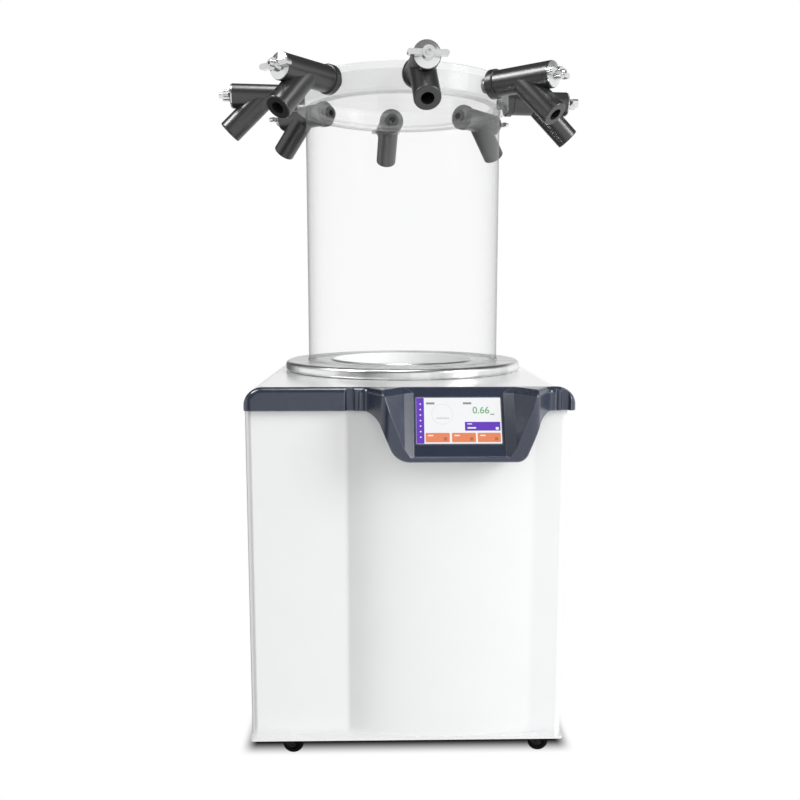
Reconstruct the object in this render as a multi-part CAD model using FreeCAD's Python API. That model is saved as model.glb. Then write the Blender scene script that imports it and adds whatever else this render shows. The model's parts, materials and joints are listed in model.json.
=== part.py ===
"""Compact floor-standing laboratory freeze dryer with an eight-port flask manifold.

Row frame: millimetres, +Z up, the operator stands at -Y and +X is to the operator's right.
The origin lies on the floor, on the axis of the drying chamber.
Each function makes one sub-part, and build() at the end names and exports them all.
"""

import FreeCAD
import Part
import math
import os

V = FreeCAD.Vector
X, Y, Z = V(1, 0, 0), V(0, 1, 0), V(0, 0, 1)

# ---- Cabinet ----
body_w = 470.0            # across the side panels
half_w = body_w / 2
front_y = -288.0          # flat stretches of the front panel
rear_y = 292.0            # outer face of the rear panel
base_z = 44.0             # underside of the base plate
top_z = 578.0             # upper face of the top cover
base_t = 4.0              # base plate
base_front_y = -302.0     # its straight front edge
sheet = 1.5               # steel sheet of the panels
corner_r = 10.0           # upright front corners
edge_r = 27.0             # long upper edges of the top cover
band_h = 34.0             # depth of the bezel's band, and of the top cover's skirts
panel_z0 = base_z + base_t
panel_z1 = top_z - band_h
return_y = front_y + 20.0  # where the front panel's side returns end

# ---- Hump of the front panel, seen from above ----
hump_x0, hump_x1 = -88.0, 186.0   # where it leaves and rejoins the flat front
hump_rise = 13.0
hump_ease_r = 40.0        # hollow radius at both sides

# ---- Bezel and console ----
console_x = 73.5          # the console and its display are centred here
bezel_left, bezel_right = -half_w - 0.5, half_w + 9.5
band_y = front_y - 10.0   # front of the band
bezel_back = front_y + 4.0   # its ends wrap the front corners as far as this
console_y = -343.0        # front of the console
console_z0 = 478.0        # its lower edge
console_half = 90.0       # half its width along that edge
console_lean = 0.427      # each side moves out by this share of the height gained
end_r = 28.0              # upper corners at the bezel's two ends
shoulder_r = 9.0          # rounding along the upper front edge
flank = 26.0              # each flank runs back over this width
bezel_wall = 3.0
groove_in, groove_out = 141.0, 163.0   # distances of the end grooves from the centre

# ---- Display and the recess in front of it ----
floor_tilt = 27.0         # degrees back from upright
floor_top_y = -291.5      # the recess's floor at the height of the top cover
floor_half = 64.5         # half its width
wall_out, wall_fwd = 13.5, 10.0        # its steep side walls
rim_lean = 0.396          # slope of the cheeks' front edges
recess_z0 = 485.0
notch_half, notch_z0 = 84.0, 498.0     # opening for it in the front panel
lip = 8.0                 # chamfer along the cheeks' upper edges
rim_r = 1.5               # rounding of the recess's rim
screen_w, screen_h = 121.0, 69.0
screen_x, screen_z = console_x - 0.8, 532.5

# ---- Cold trap ----
trap_r = 120.0            # inside
trap_wall = 1.5
trap_bottom_z = 330.0
flange_r, flange_t = 205.0, 17.0
flange_z = top_z + flange_t
collar_z = flange_z + 2.0  # low rim round the trap's mouth
vac_z, vac_r, vac_wall = 520.0, 14.0, 2.0
drain_z, drain_r = 306.0, 6.0
lever_z, lever_pin_r = drain_z + 14.3, 2.5

# ---- Drying chamber ----
cyl_r, cyl_wall = 165.0, 8.0
gasket_t = 3.0
cyl_z0, cyl_z1 = flange_z + gasket_t, 1014.0
drum_r, drum_wall = 180.0, 10.0
drum_z0, drum_z1 = 1017.0, 1057.0
drum_top_t = 8.0

# ---- Flask valves ----
n_valves = 8
first_valve_deg = 5.5     # from straight ahead, towards +X
valve_z = 1037.0
port_r = 11.6             # hole in the drum's wall
tail_r = 11.5
valve_collar_r, valve_r = 22.5, 20.0
valve_end = drum_r + 106.0
branch_x = drum_r + 53.0  # where the branch leaves the valve's axis
branch_len = 84.0
branch_r = 19.5
outlet_r, outlet_depth = 9.5, 45.0
seat_x0, seat_r0, seat_r1 = drum_r + 25.0, 11.0, 14.5
key_gap = 0.1

# ---- Casters ----
caster_x, caster_y_front, caster_y_rear = 191.0, -250.0, 250.0
wheel_r, wheel_half = 16.0, 8.0
trail = 15.5              # the wheel stands this far to +X of its swivel
axle_r, axle_gap = 2.5, 0.06
king_r = 4.0

# ---- Machinery space ----
comp_x, comp_y, comp_r, comp_h = -118.0, 70.0, 72.0, 150.0
cond_x, cond_z, cond_w, cond_h = 92.0, 150.0, 220.0, 180.0
cond_y0, cond_y1 = 236.0, 272.0
tube_y = (cond_y0 + cond_y1) / 2
tube_end = cond_x - cond_w / 2 - 6.2   # where the lines meet the condenser's tubes
fan_r = 80.0
fan_y = 205.0
fin_count, tube_rows = 22, 6
coil_turns, coil_pitch, coil_tube_r = 7, 22.0, 4.0
coil_r = trap_r + trap_wall + coil_tube_r + 0.3
coil_z0 = trap_bottom_z + 22.0
drier_x, drier_y, drier_z = -52.0, 205.0, 110.0
board_x = 214.0

# ---- Rear services ----
drain_valve_y = rear_y + 5.2
inlet_x, switch_x, inlet_z = -147.0, -110.0, 394.0
inlet_depth = 26.0


# ---------------------------------------------------------------- helpers
def rounded(points, place, closed=True):
    """A wire through 2-D points (a, b[, radius]); place turns (a, b) into a vector."""
    flat = [(p[0], p[1], p[2] if len(p) > 2 else 0.0) for p in points]
    n = len(flat)
    pieces = []
    for i, (a, b, r) in enumerate(flat):
        here = FreeCAD.Base.Vector2d(a, b)
        if r == 0.0 or (not closed and i in (0, n - 1)):
            pieces.append([(a, b)])
            continue
        before, after = flat[i - 1], flat[(i + 1) % n]
        u = FreeCAD.Base.Vector2d(before[0] - a, before[1] - b)
        w = FreeCAD.Base.Vector2d(after[0] - a, after[1] - b)
        lu, lw = math.hypot(u.x, u.y), math.hypot(w.x, w.y)
        ux, uy, wx, wy = u.x / lu, u.y / lu, w.x / lw, w.y / lw
        half = math.acos(max(-1.0, min(1.0, ux * wx + uy * wy))) / 2
        t = r / math.tan(half)
        bx, by = ux + wx, uy + wy
        lb = math.hypot(bx, by)
        m = r / math.sin(half) - r
        mid = (here.x + bx / lb * m, here.y + by / lb * m)
        pieces.append([(a + ux * t, b + uy * t), mid, (a + wx * t, b + wy * t)])
    edges = []
    for i, piece in enumerate(pieces):
        if len(piece) == 3:
            edges.append(Part.Arc(*[place(*q) for q in piece]).toShape())
        if i == n - 1 and not closed:
            break
        start, end = place(*piece[-1]), place(*pieces[(i + 1) % n][0])
        if start.distanceToPoint(end) > 1e-6:
            edges.append(Part.LineSegment(start, end).toShape())
    return Part.Wire(edges)


def in_plan(z):
    return lambda a, b: V(a, b, z)


def in_front_view(y):
    return lambda a, b: V(a, y, b)


def in_side_view(x):
    return lambda a, b: V(x, a, b)


def prism(points, place, vector):
    return Part.Face(rounded(points, place)).extrude(vector)


def box(x0, x1, y0, y1, z0, z1):
    return Part.makeBox(x1 - x0, y1 - y0, z1 - z0, V(x0, y0, z0))


def rod(r, start, end):
    way = end - start
    return Part.makeCylinder(r, way.Length, start, way)


def ring(r_out, r_in, z0, z1):
    outer = Part.makeCylinder(r_out, z1 - z0, V(0, 0, z0))
    return outer.cut(Part.makeCylinder(r_in, z1 - z0 + 2, V(0, 0, z0 - 1)))


def turned(points):
    """A solid of revolution about Z from (radius, height[, fillet]) points."""
    face = Part.Face(rounded(points, lambda a, b: V(a, 0, b)))
    return face.revolve(V(0, 0, 0), Z, 360)


def pipe(points, bend, r_out, r_in=0.0):
    """A bent tube through 3-D points, with one bend radius."""
    edges, start = [], points[0]
    for i in range(1, len(points) - 1):
        a, p, b = points[i - 1], points[i], points[i + 1]
        u, w = (a - p).normalize(), (b - p).normalize()
        half = u.getAngle(w) / 2
        t = bend / math.tan(half)
        mid = p + (u + w).normalize() * (bend / math.sin(half) - bend)
        edges.append(Part.LineSegment(start, p + u * t).toShape())
        edges.append(Part.Arc(p + u * t, mid, p + w * t).toShape())
        start = p + w * t
    edges.append(Part.LineSegment(start, points[-1]).toShape())
    path = Part.Wire(edges)
    way = points[1] - points[0]
    outer = Part.Wire(Part.Circle(points[0], way, r_out).toShape())
    solid = path.makePipeShell([outer], True, False)
    if r_in:
        inner = Part.Wire(Part.Circle(points[0], way, r_in).toShape())
        solid = solid.cut(path.makePipeShell([inner], True, False))
    return solid


def half_space(point, normal):
    """A large block behind the plane through point, on the side away from normal."""
    big = 1200.0
    block = Part.makeBox(big, big, big, V(-big / 2, -big / 2, -big))
    block.Placement = FreeCAD.Placement(point, FreeCAD.Rotation(Z, normal))
    return block


def turned_to(shape, degrees):
    copy = shape.copy()
    copy.rotate(V(0, 0, 0), Z, degrees)
    return copy


def slots(rows, pitch, z0, height, place_box):
    """A column of vent slots; place_box(z low, z high) makes one cutter."""
    cutters = [place_box(z0 + i * pitch, z0 + i * pitch + height) for i in range(rows)]
    return cutters[0].multiFuse(cutters[1:])


def only_solid(shape):
    """The largest solid of a boolean's result."""
    return max(shape.Solids, key=lambda s: s.Volume)


# ---------------------------------------------------------------- cabinet
def front_outline(inset=0.0):
    """The cabinet's plan: flat front with a shallow hump that eases out of it, rounded corners."""
    y = front_y + inset
    side = half_w - inset
    half_run = (hump_x1 - hump_x0) / 2
    big_r = (half_run**2 + hump_rise**2) / (2 * hump_rise)
    hump_r, ease_r = big_r - inset, hump_ease_r + inset
    centre = V((hump_x0 + hump_x1) / 2, front_y - hump_rise + big_r, 0)
    ease_y = front_y - hump_ease_r
    ease_run = math.sqrt((big_r + hump_ease_r) ** 2 - (centre.y - ease_y) ** 2)

    def ease(sx):
        """The concave arc beside the hump: its end on the flat, its middle, its end on the hump."""
        at = V(centre.x + sx * ease_run, ease_y, 0)
        flat_end, hump_end = V(at.x, y, 0), centre + (at - centre) * (hump_r / (hump_r + ease_r))
        middle = at + ((flat_end - at) + (hump_end - at)).normalize() * ease_r
        return flat_end, middle, hump_end

    left, right = ease(-1), ease(1)
    r = corner_r - inset
    diagonal = r * (1 - math.sqrt(0.5))
    back = V(-side, rear_y, 0), V(side, rear_y, 0)
    corner_l = Part.Arc(V(-side, y + r, 0), V(-side + diagonal, y + diagonal, 0), V(-side + r, y, 0))
    corner_r_ = Part.Arc(V(side - r, y, 0), V(side - diagonal, y + diagonal, 0), V(side, y + r, 0))
    edges = [
        Part.LineSegment(back[0], V(-side, y + r, 0)),
        corner_l,
        Part.LineSegment(V(-side + r, y, 0), left[0]),
        Part.Arc(*left),
        Part.Arc(left[2], centre - V(0, hump_r, 0), right[2]),
        Part.Arc(*reversed(right)),
        Part.LineSegment(right[0], V(side - r, y, 0)),
        corner_r_,
        Part.LineSegment(V(side, y + r, 0), back[1]),
        Part.LineSegment(back[1], back[0]),
    ]
    return Part.Wire([e.toShape() for e in edges])


def front_block(z0, z1, inset=0.0):
    face = Part.Face(front_outline(inset))
    face.translate(V(0, 0, z0))
    return face.extrude(V(0, 0, z1 - z0))


def screw_points():
    """Centres of the screws that hold the rear panel to the frame's posts."""
    columns = -(half_w - 16.0), half_w - 16.0
    return [(x, z) for x in columns for z in (80.0, 220.0, 370.0, 515.0)]


def base_plate():
    """Flat base whose front edge runs straight, just ahead of the hump."""
    outline = [(-half_w, rear_y), (-half_w, base_front_y, 4.0),
               (half_w, base_front_y, 4.0), (half_w, rear_y)]
    plate = prism(outline, in_plan(base_z), V(0, 0, base_t))
    for x in (-caster_x, caster_x):
        for y in (caster_y_front, caster_y_rear):
            plate = plate.cut(rod(king_r + 2.0, V(x, y, base_z - 1), V(x, y, panel_z0 + 1)))
    return plate


def frame():
    """Welded angle-section frame: posts, rings of rails, and two bearers under the cover."""
    leg, wall = 24.0, 2.5
    x_out, y_out, z_top = half_w - 7.0, 281.0, 560.0
    parts = []
    for sx in (-1, 1):
        for sy in (-1, 1):
            cx, cy = sx * x_out, sy * y_out
            a = box(*sorted((cx, cx - sx * leg)), *sorted((cy, cy - sy * wall)), panel_z0, z_top)
            b = box(*sorted((cx, cx - sx * wall)), *sorted((cy, cy - sy * leg)), panel_z0, z_top)
            parts += [a, b]
    for z0, z1 in ((panel_z0, panel_z0 + leg), (z_top - leg, z_top)):
        flat = (z0, z0 + wall) if z0 == panel_z0 else (z1 - wall, z1)
        for sx in (-1, 1):
            cx = sx * x_out
            parts.append(box(*sorted((cx, cx - sx * wall)), -y_out, y_out, z0, z1))
            parts.append(box(*sorted((cx, cx - sx * leg)), -y_out, y_out, *flat))
        for sy in (-1, 1):
            cy = sy * y_out
            parts.append(box(-x_out, x_out, *sorted((cy, cy - sy * wall)), z0, z1))
            parts.append(box(-x_out, x_out, *sorted((cy, cy - sy * leg)), *flat))
    for y in (-222.0, 212.0):
        parts.append(box(-206, 206, y, y + 10.0, z_top - wall, top_z - sheet))
    welded = parts[0].multiFuse(parts[1:]).removeSplitter()
    for x, z in screw_points():
        welded = welded.cut(rod(2.0, V(x, 270, z), V(x, 300, z)))
    return only_solid(welded)


def front_panel():
    """Sheet-steel front with the hump, wrapped round both front corners."""
    z1 = top_z - 2 * sheet
    skin = front_block(panel_z0, z1).cut(front_block(panel_z0 - 1, z1 + 1, sheet))
    skin = skin.common(box(-half_w - 1, half_w + 1, front_y - 40, return_y, 0, top_z))
    for sx in (-1, 1):
        corner = sorted((sx * (half_w - edge_r), sx * (half_w + 1)))
        skin = skin.cut(box(*corner, front_y - 1, return_y + 1, panel_z1, top_z))
    notch = box(console_x - notch_half, console_x + notch_half, front_y - 30, front_y + 10,
                notch_z0, top_z)
    return only_solid(skin.cut(notch))


def side_panel(side):
    """Side sheet with a block of vent slots low down towards the rear."""
    x0, x1 = sorted((side * half_w, side * (half_w - sheet)))
    panel = box(x0, x1, return_y + 0.5, rear_y - sheet - 0.3, panel_z0, panel_z1 - 0.5)
    lip = box(*sorted((side * (half_w - sheet), side * (half_w - 6.0))), return_y + 0.5,
              return_y + 0.5 + sheet, panel_z0, panel_z1 - 0.5)
    vents = slots(10, 14.0, 90.0, 5.0,
                  lambda a, b: box(x0 - 1, x1 + 1, 40, 200, a, b))
    return panel.fuse(lip).removeSplitter().cut(vents)


def rear_panel():
    """Rear sheet with vents over the condenser and holes for the services."""
    panel = box(-half_w, half_w, rear_y - sheet, rear_y, panel_z0, panel_z1 - 0.5)
    x0, x1 = cond_x - cond_w / 2 + 12, cond_x + cond_w / 2 - 12
    vents = slots(12, 13.0, 76.0, 5.0,
                  lambda a, b: box(x0, x1, rear_y - 5, rear_y + 5, a, b))
    panel = panel.cut(vents)
    panel = panel.cut(rod(vac_r + 1.0, V(0, rear_y - 10, vac_z), V(0, rear_y + 10, vac_z)))
    panel = panel.cut(rod(drain_r + 1.0, V(0, rear_y - 10, drain_z), V(0, rear_y + 10, drain_z)))
    panel = panel.cut(box(inlet_x - 21, switch_x + 18, rear_y - 10, rear_y + 10,
                          inlet_z - 16, inlet_z + 16))
    for x, z in screw_points():
        panel = panel.cut(rod(2.2, V(x, rear_y - 5, z), V(x, rear_y + 5, z)))
    return panel


def top_cover():
    """Top sheet with rolled long edges, a rear skirt and the hole for the trap."""
    def arch(inset):
        side, top, r = half_w - inset, top_z - inset, edge_r - inset
        return [(-side, panel_z1 - inset), (-side, top, r), (side, top, r), (side, panel_z1 - inset)]

    outer = prism(arch(0.0), in_front_view(front_y), V(0, rear_y - front_y, 0))
    inner = prism(arch(sheet), in_front_view(front_y - 1), V(0, rear_y - front_y + 1 - sheet, 0))
    cover = outer.cut(inner)
    cover = cover.cut(box(-half_w - 1, half_w + 1, front_y - 2, return_y, 0, top_z - edge_r - 0.01))
    cover = cover.cut(Part.makeCylinder(trap_r + trap_wall + 9.0, 20, V(0, 0, top_z - 10)))
    for side in (-1, 1):
        corner = sorted((side * (half_w - edge_r), side * (half_w + 1)))
        cover = cover.cut(box(*corner, front_y - 2, bezel_back + 0.3, 0, top_z + 1))
    return only_solid(cover)


# ---------------------------------------------------------------- bezel
def floor_y(z):
    """Where the recess's floor lies at height z."""
    return floor_top_y - (top_z - z) * math.tan(math.radians(floor_tilt))


def recess_planes(side):
    """Point and outward normal of the steep wall and of the cheek on one side."""
    meet_z = top_z - (floor_top_y - wall_fwd - console_y) / math.tan(math.radians(floor_tilt))
    foot = [V(console_x + side * floor_half, floor_y(z), z) for z in (meet_z, top_z)]
    out = V(side * wall_out, -wall_fwd, 0)
    wall = (foot[1] - foot[0]).cross(out)
    rim = [foot[0] + out, foot[0] + out + V(side * rim_lean, 0, 1) * (top_z - meet_z)]
    cheek = (rim[1] - rim[0]).cross(rim[1] - (foot[1] + out))
    for normal in (wall, cheek):
        normal.normalize()
        if normal.x * side < 0:
            normal.multiply(-1)
    return (foot[0], wall), (rim[0], cheek)


def lip_plane(point, normal):
    """The chamfer along the top of one of the recess's side planes."""
    rise = top_z - lip - point.z
    across = V(normal.x, normal.y, 0)
    at_lip = point + V(0, 0, rise) - across * (normal.z * rise / across.Length**2)
    return at_lip, (normal - Z).normalize()


def recess(grow=0.0):
    """The open-topped hollow in front of the display, larger all round by grow."""
    tilt = math.radians(floor_tilt)
    back = V(0, math.cos(tilt), -math.sin(tilt))
    floor = half_space(V(0, floor_top_y, top_z) + back * grow, back)
    x0, x1 = bezel_left, bezel_right
    space = box(x0, x1, console_y - 30, front_y + 20, recess_z0 - grow, top_z + 20).common(floor)
    flare = space.common(box(x0, x1, console_y - 30, front_y + 20, top_z - lip, top_z + 20))
    for side in (-1, 1):
        for point, normal in recess_planes(side):
            point = point + normal * grow
            space = space.common(half_space(point, normal))
            flare = flare.common(half_space(*lip_plane(point, normal)))
    return space.fuse(flare)


def tilted(shape):
    """Lays a plate made flat, facing -Y at the origin, into the recess's floor."""
    copy = shape.copy()
    copy.rotate(V(0, 0, 0), X, -floor_tilt)
    copy.translate(V(screen_x, floor_y(screen_z), screen_z))
    return copy


def screen_block(grow, depth, front):
    w, h = screen_w / 2 + grow, screen_h / 2 + grow
    return tilted(box(-w, w, front, front + depth, -h, h))


def bezel_plan(inset=0.0):
    """The bezel from above: a straight band with the console standing out of it."""
    left, right = bezel_left + inset, bezel_right - inset
    f, c = band_y + inset, console_y + inset
    half = console_half + console_lean * (top_z - console_z0) - inset
    step = inset * 0.45
    return [
        (left, bezel_back), (left, f, 12.0 - inset), (console_x - half - step, f, 8.0),
        (console_x - half + flank + step, c, 14.0), (console_x + half - flank - step, c, 14.0),
        (console_x + half + step, f, 8.0), (right, f, 12.0 - inset), (right, bezel_back),
    ]


def bezel_face(inset=0.0):
    """The bezel from the front: a band that sweeps down into the console."""
    left, right = bezel_left + inset, bezel_right - inset
    low, edge, top = console_z0 + inset, panel_z1 + inset, top_z - 2 * inset
    near = console_half - inset
    far = near + console_lean * (edge - low)
    return [
        (left, edge), (console_x - far, edge, 27.0), (console_x - near, low, 30.0),
        (console_x + near, low, 17.0), (console_x + far, edge, 24.0), (right, edge),
        (right, top, end_r - inset), (left, top, end_r - inset),
    ]


def bezel_block(inset=0.0):
    plan = prism(bezel_plan(inset), in_plan(console_z0 - 20), V(0, 0, 140))
    return plan.common(prism(bezel_face(inset), in_front_view(bezel_back + 1), V(0, -120, 0)))


def shoulder_edges(block):
    """The upper front edges of the bezel, from one end round the console to the other."""
    found = []
    for edge in block.Edges:
        at = [edge.valueAt(edge.FirstParameter + t * (edge.LastParameter - edge.FirstParameter))
              for t in (0.0, 0.5, 1.0)]
        if all(abs(p.z - top_z) < 0.01 for p in at) and at[1].y < bezel_back - 0.5:
            found.append(edge)
    return found


def lies_on(edge, point, normal):
    span = edge.LastParameter - edge.FirstParameter
    return all(abs((edge.valueAt(edge.FirstParameter + t * span) - point).dot(normal)) < 0.02
               for t in (0.1, 0.5, 0.9))


def rim_edges(body):
    """The recess's rim on the console's front, and the creases beside its cheeks."""
    planes = {"sill": [(V(0, 0, recess_z0), Z)], "wall": [], "cheek": [], "lip": []}
    for side in (-1, 1):
        wall, cheek = recess_planes(side)
        planes["wall"].append(wall)
        planes["cheek"].append(cheek)
        planes["lip"].append(lip_plane(*cheek))
    found = []
    for edge in body.Edges:
        at = edge.valueAt((edge.FirstParameter + edge.LastParameter) / 2)
        on = [name for name, group in planes.items() if any(lies_on(edge, *plane) for plane in group)]
        front = on in (["sill"], ["wall"], ["cheek"]) and at.y < console_y + 2
        if front or (on == ["lip"] and at.y < -305) or on in (["wall", "cheek"], ["cheek", "lip"]):
            found.append(edge)
    return found


def grooves():
    """Upright grooves that part the console from the band, each with a bead beside it."""
    f = band_y
    cut = []
    for side in (-1, 1):
        near, far = console_x + side * groove_in, console_x + side * groove_out
        line = [(far, f - 40), (far, f, 1.0), (far - side * 3, f + 5, 3.0),
                (far - side * 13, f + 5, 3.0), (far - side * 15, f + 1, 1.5),
                (far - side * 19, f + 1, 1.5), (near, f + 4, 1.5), (near - side * 6, f - 40)]
        cut.append(prism(line, in_plan(panel_z1 - 20), V(0, 0, 80)))
    return cut[0].fuse(cut[1])


def cabinet_core():
    """What the bezel wraps: the front panel's upper edge and the top cover's front edge."""
    corner = half_w - edge_r + 0.2
    edge = front_block(0, top_z - 2 * sheet + 0.2).common(box(-corner, corner, -400, 0, 0, top_z))
    core = front_block(0, panel_z1).fuse(edge)
    half = notch_half - 0.3
    core = core.cut(box(console_x - half, console_x + half, -400, front_y - 0.2, notch_z0 + 0.3, 600))
    return core.fuse(box(-corner, corner, front_y - 0.2, 0, 0, top_z + 1))


def front_bezel():
    body = bezel_block()
    body = body.makeFillet(shoulder_r, shoulder_edges(body))
    body = body.cut(grooves()).cut(recess())
    body = body.makeFillet(rim_r, rim_edges(body))
    hollow = bezel_block(bezel_wall).cut(recess(bezel_wall))
    for side in (-1, 1):
        near, far = sorted((console_x + side * (groove_in - 8), console_x + side * (groove_out + 4)))
        hollow = hollow.cut(box(near, far, band_y - 60, band_y + 9.5, 0, 700))
    body = body.cut(hollow).cut(cabinet_core())
    return only_solid(body.cut(screen_block(0.3, 20.0, -6.0)))


def screen_module():
    """Touch display: glass plate in the window, with its driver box behind."""
    glass = screen_block(0.0, 3.0, -0.4)
    driver = tilted(box(-screen_w / 2 + 6, screen_w / 2 - 6, 2.5, 9.0, -screen_h / 2 + 5,
                        screen_h / 2 - 5))
    return glass.fuse(driver).removeSplitter()


# ---------------------------------------------------------------- cold trap and chamber
def trap_pot():
    """Stainless tube that forms the trap's wall, with the hole for the vacuum pipe."""
    tube = ring(trap_r + trap_wall, trap_r, trap_bottom_z, top_z)
    return tube.cut(rod(vac_r - vac_wall, V(0, trap_r - 8, vac_z), V(0, trap_r + 8, vac_z)))


def trap_floor():
    """Flat disc welded into the foot of the pot, drained at its centre."""
    disc = rod(trap_r, V(0, 0, trap_bottom_z), V(0, 0, trap_bottom_z + trap_wall))
    return disc.cut(rod(drain_r - 1.5, V(0, 0, trap_bottom_z - 2), V(0, 0, trap_bottom_z + 4)))


def trap_plate():
    """Thick round-edged flange on the pot's upper end, with a low rim round the trap's mouth."""
    r = trap_r
    return turned([(r, top_z), (flange_r, top_z, 5.0), (flange_r, flange_z, 7.0), (r + 7, flange_z, 1.0),
                   (r + 5, collar_z, 0.8), (r, collar_z, 0.8)])


def evaporator_coil():
    """Copper tube wound round the pot: half rings that climb by tilting in turn."""
    rise = coil_pitch / 2
    tilt = math.degrees(math.atan2(rise, 2 * coil_r))
    reach = math.hypot(coil_r, rise / 2)
    half = Part.Face(Part.Wire(Part.Circle(V(reach, 0, 0), Y, coil_tube_r).toShape()))
    half = half.revolve(V(0, 0, 0), Z, 180)
    half.rotate(V(0, 0, 0), Y, tilt)
    coil = []
    for i in range(2 * coil_turns):
        arc = half.copy() if i % 2 == 0 else turned_to(half, 180)
        arc.translate(V(0, 0, coil_z0 + rise * (i + 0.5)))
        coil.append(arc)
    return only_solid(coil[0].multiFuse(coil[1:]))


def insulation_jacket():
    """Foam jacket round the pot and its coil, open at the top under the cover."""
    inner = trap_r + trap_wall + 2 * coil_tube_r + 1.0
    jacket = turned([(0, drain_z + 9), (inner + 25, drain_z + 9, 10.0), (inner + 25, 560),
                     (inner, 560), (inner, trap_bottom_z - 1), (0, trap_bottom_z - 1)])
    jacket = jacket.cut(rod(vac_r + 0.5, V(0, 100, vac_z), V(0, 200, vac_z)))
    jacket = jacket.cut(rod(drain_r + 0.5, V(0, 0, 300), V(0, 0, 340)))
    for angle, z in ((0.0, coil_z0), (200.0, 470.0)):
        hole = rod(coil_tube_r + 1.5, V(inner - 8, 0, z), V(inner + 40, 0, z))
        jacket = jacket.cut(turned_to(hole, angle))
    return jacket


def flat_gasket(z0):
    """Flat silicone ring under or over the clear cylinder."""
    return ring(cyl_r + 1.5, cyl_r - cyl_wall - 1.5, z0, z0 + gasket_t)


def chamber_cylinder():
    return ring(cyl_r, cyl_r - cyl_wall, cyl_z0, cyl_z1)


def valve_angles():
    return [first_valve_deg + i * 360.0 / n_valves for i in range(n_valves)]


def manifold_drum():
    """Clear drum: flat top, wall with the valve ports, and an inner foot ring."""
    r, w = drum_r, drum_wall
    foot_r = 148.0
    drum = turned([(0, drum_z1 - drum_top_t), (r - w, drum_z1 - drum_top_t, 2.0),
                   (r - w, drum_z0 + 6.0), (foot_r, drum_z0 + 6.0, 1.0), (foot_r, drum_z0, 1.0),
                   (r, drum_z0, 1.5), (r, drum_z1, 2.5), (0, drum_z1)])
    for angle in valve_angles():
        port = rod(port_r, V(r - w - 3, 0, valve_z), V(r + 3, 0, valve_z))
        drum = drum.cut(turned_to(port, angle - 90.0))
    return drum


# ---------------------------------------------------------------- flask valves
def branch_point(along):
    s = math.sqrt(0.5)
    return V(branch_x + along * s, 0, valve_z - along * s)


def valve_body():
    """Rubber Y-valve on the +X side: tail, collar, barrel, and a branch for the flask."""
    def along(x):
        return V(x, 0, valve_z)

    barrel = rod(valve_r, along(drum_r + 8), along(valve_end))
    collar = rod(valve_collar_r, along(drum_r - 4), along(drum_r + 9))
    groove = Part.makeTorus(valve_r + 1.2, 1.8, along(drum_r + 10.2), X)
    branch = rod(branch_r, branch_point(0), branch_point(branch_len))
    outer = barrel.fuse(collar).fuse(branch).removeSplitter().cut(groove)
    outer = outer.cut(Part.makeCylinder(drum_r + 0.05, 80, V(0, 0, valve_z - 40)))
    ends = [e for e in outer.Edges if e.Curve.TypeId == "Part::GeomCircle"
            and abs(e.Curve.Radius - branch_r) < 0.01
            and e.Curve.Center.distanceToPoint(branch_point(branch_len)) < 0.1]
    outer = outer.makeFillet(2.0, ends)
    tail = rod(tail_r, along(drum_r - drum_wall - 4), along(drum_r + 6))
    outer = outer.fuse(tail).removeSplitter()
    seat = Part.makeCone(seat_r0, seat_r1, valve_end - seat_x0 + 1, along(seat_x0), X)
    throat = rod(6.0, along(drum_r - 20), along(seat_x0 + 1))
    outlet = rod(outlet_r, branch_point(branch_len - outlet_depth), branch_point(branch_len + 5))
    passage = rod(5.5, branch_point(6), branch_point(branch_len - outlet_depth + 1))
    return only_solid(outer.cut(seat).cut(throat).cut(outlet).cut(passage))


def valve_key():
    """Stopcock: hollow taper plug, end disc with a coned face, hub, bar handle and vent nipple."""
    def along(x):
        return V(x, 0, valve_z)

    slope = (seat_r1 - seat_r0) / (valve_end - seat_x0 + 1)
    x0, x1 = seat_x0 + 2.0, valve_end - 0.2
    r0 = seat_r0 + slope * (x0 - seat_x0) - key_gap
    r1 = seat_r0 + slope * (x1 - seat_x0) - key_gap
    plug = Part.makeCone(r0, r1, x1 - x0, along(x0), X)
    disc = rod(19.0, along(valve_end + 0.3), along(valve_end + 2.3))
    cone = Part.makeCone(19.0, 9.5, 2.5, along(valve_end + 2.3), X)
    neck = rod(r1, along(x1 - 0.1), along(valve_end + 1))
    hub = rod(9.0, along(valve_end + 3), along(valve_end + 16))
    half, thick = 29.0, 4.0
    bar = prism([(-half, valve_z - thick, thick - 0.1), (half, valve_z - thick, thick - 0.1),
                 (half, valve_z + thick, thick - 0.1), (-half, valve_z + thick, thick - 0.1)],
                lambda a, b: V(valve_end + 5, a, b), V(9, 0, 0))
    nipple = rod(4.5, along(valve_end + 15), along(valve_end + 22))
    key = plug.multiFuse([disc, cone, neck, hub, bar, nipple]).removeSplitter()
    bore = rod(5.0, along(x0 - 1), along(branch_x + 8))
    side = rod(4.5, along(branch_x + 1), along(branch_x + 1) + V(0, 0, 30))
    vent = rod(2.2, along(valve_end + 12), along(valve_end + 23))
    return key.cut(bore).cut(side).cut(vent)


# ---------------------------------------------------------------- casters
def caster_spots():
    return [(x, y) for y in (caster_y_front, caster_y_rear) for x in (-caster_x, caster_x)]


def caster_plate(x, y):
    """Fixed plate and swivel housing under one corner of the base."""
    plate = prism([(x - 21, y - 21, 4), (x + 21, y - 21, 4), (x + 21, y + 21, 4), (x - 21, y + 21, 4)],
                  in_plan(base_z - 2), V(0, 0, 2))
    housing = Part.makeCylinder(14, 5.8, V(x, y, base_z - 7.8))
    bore = Part.makeCylinder(king_r + axle_gap, 10, V(x, y, base_z - 9))
    return plate.fuse(housing).removeSplitter().cut(bore)


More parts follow.
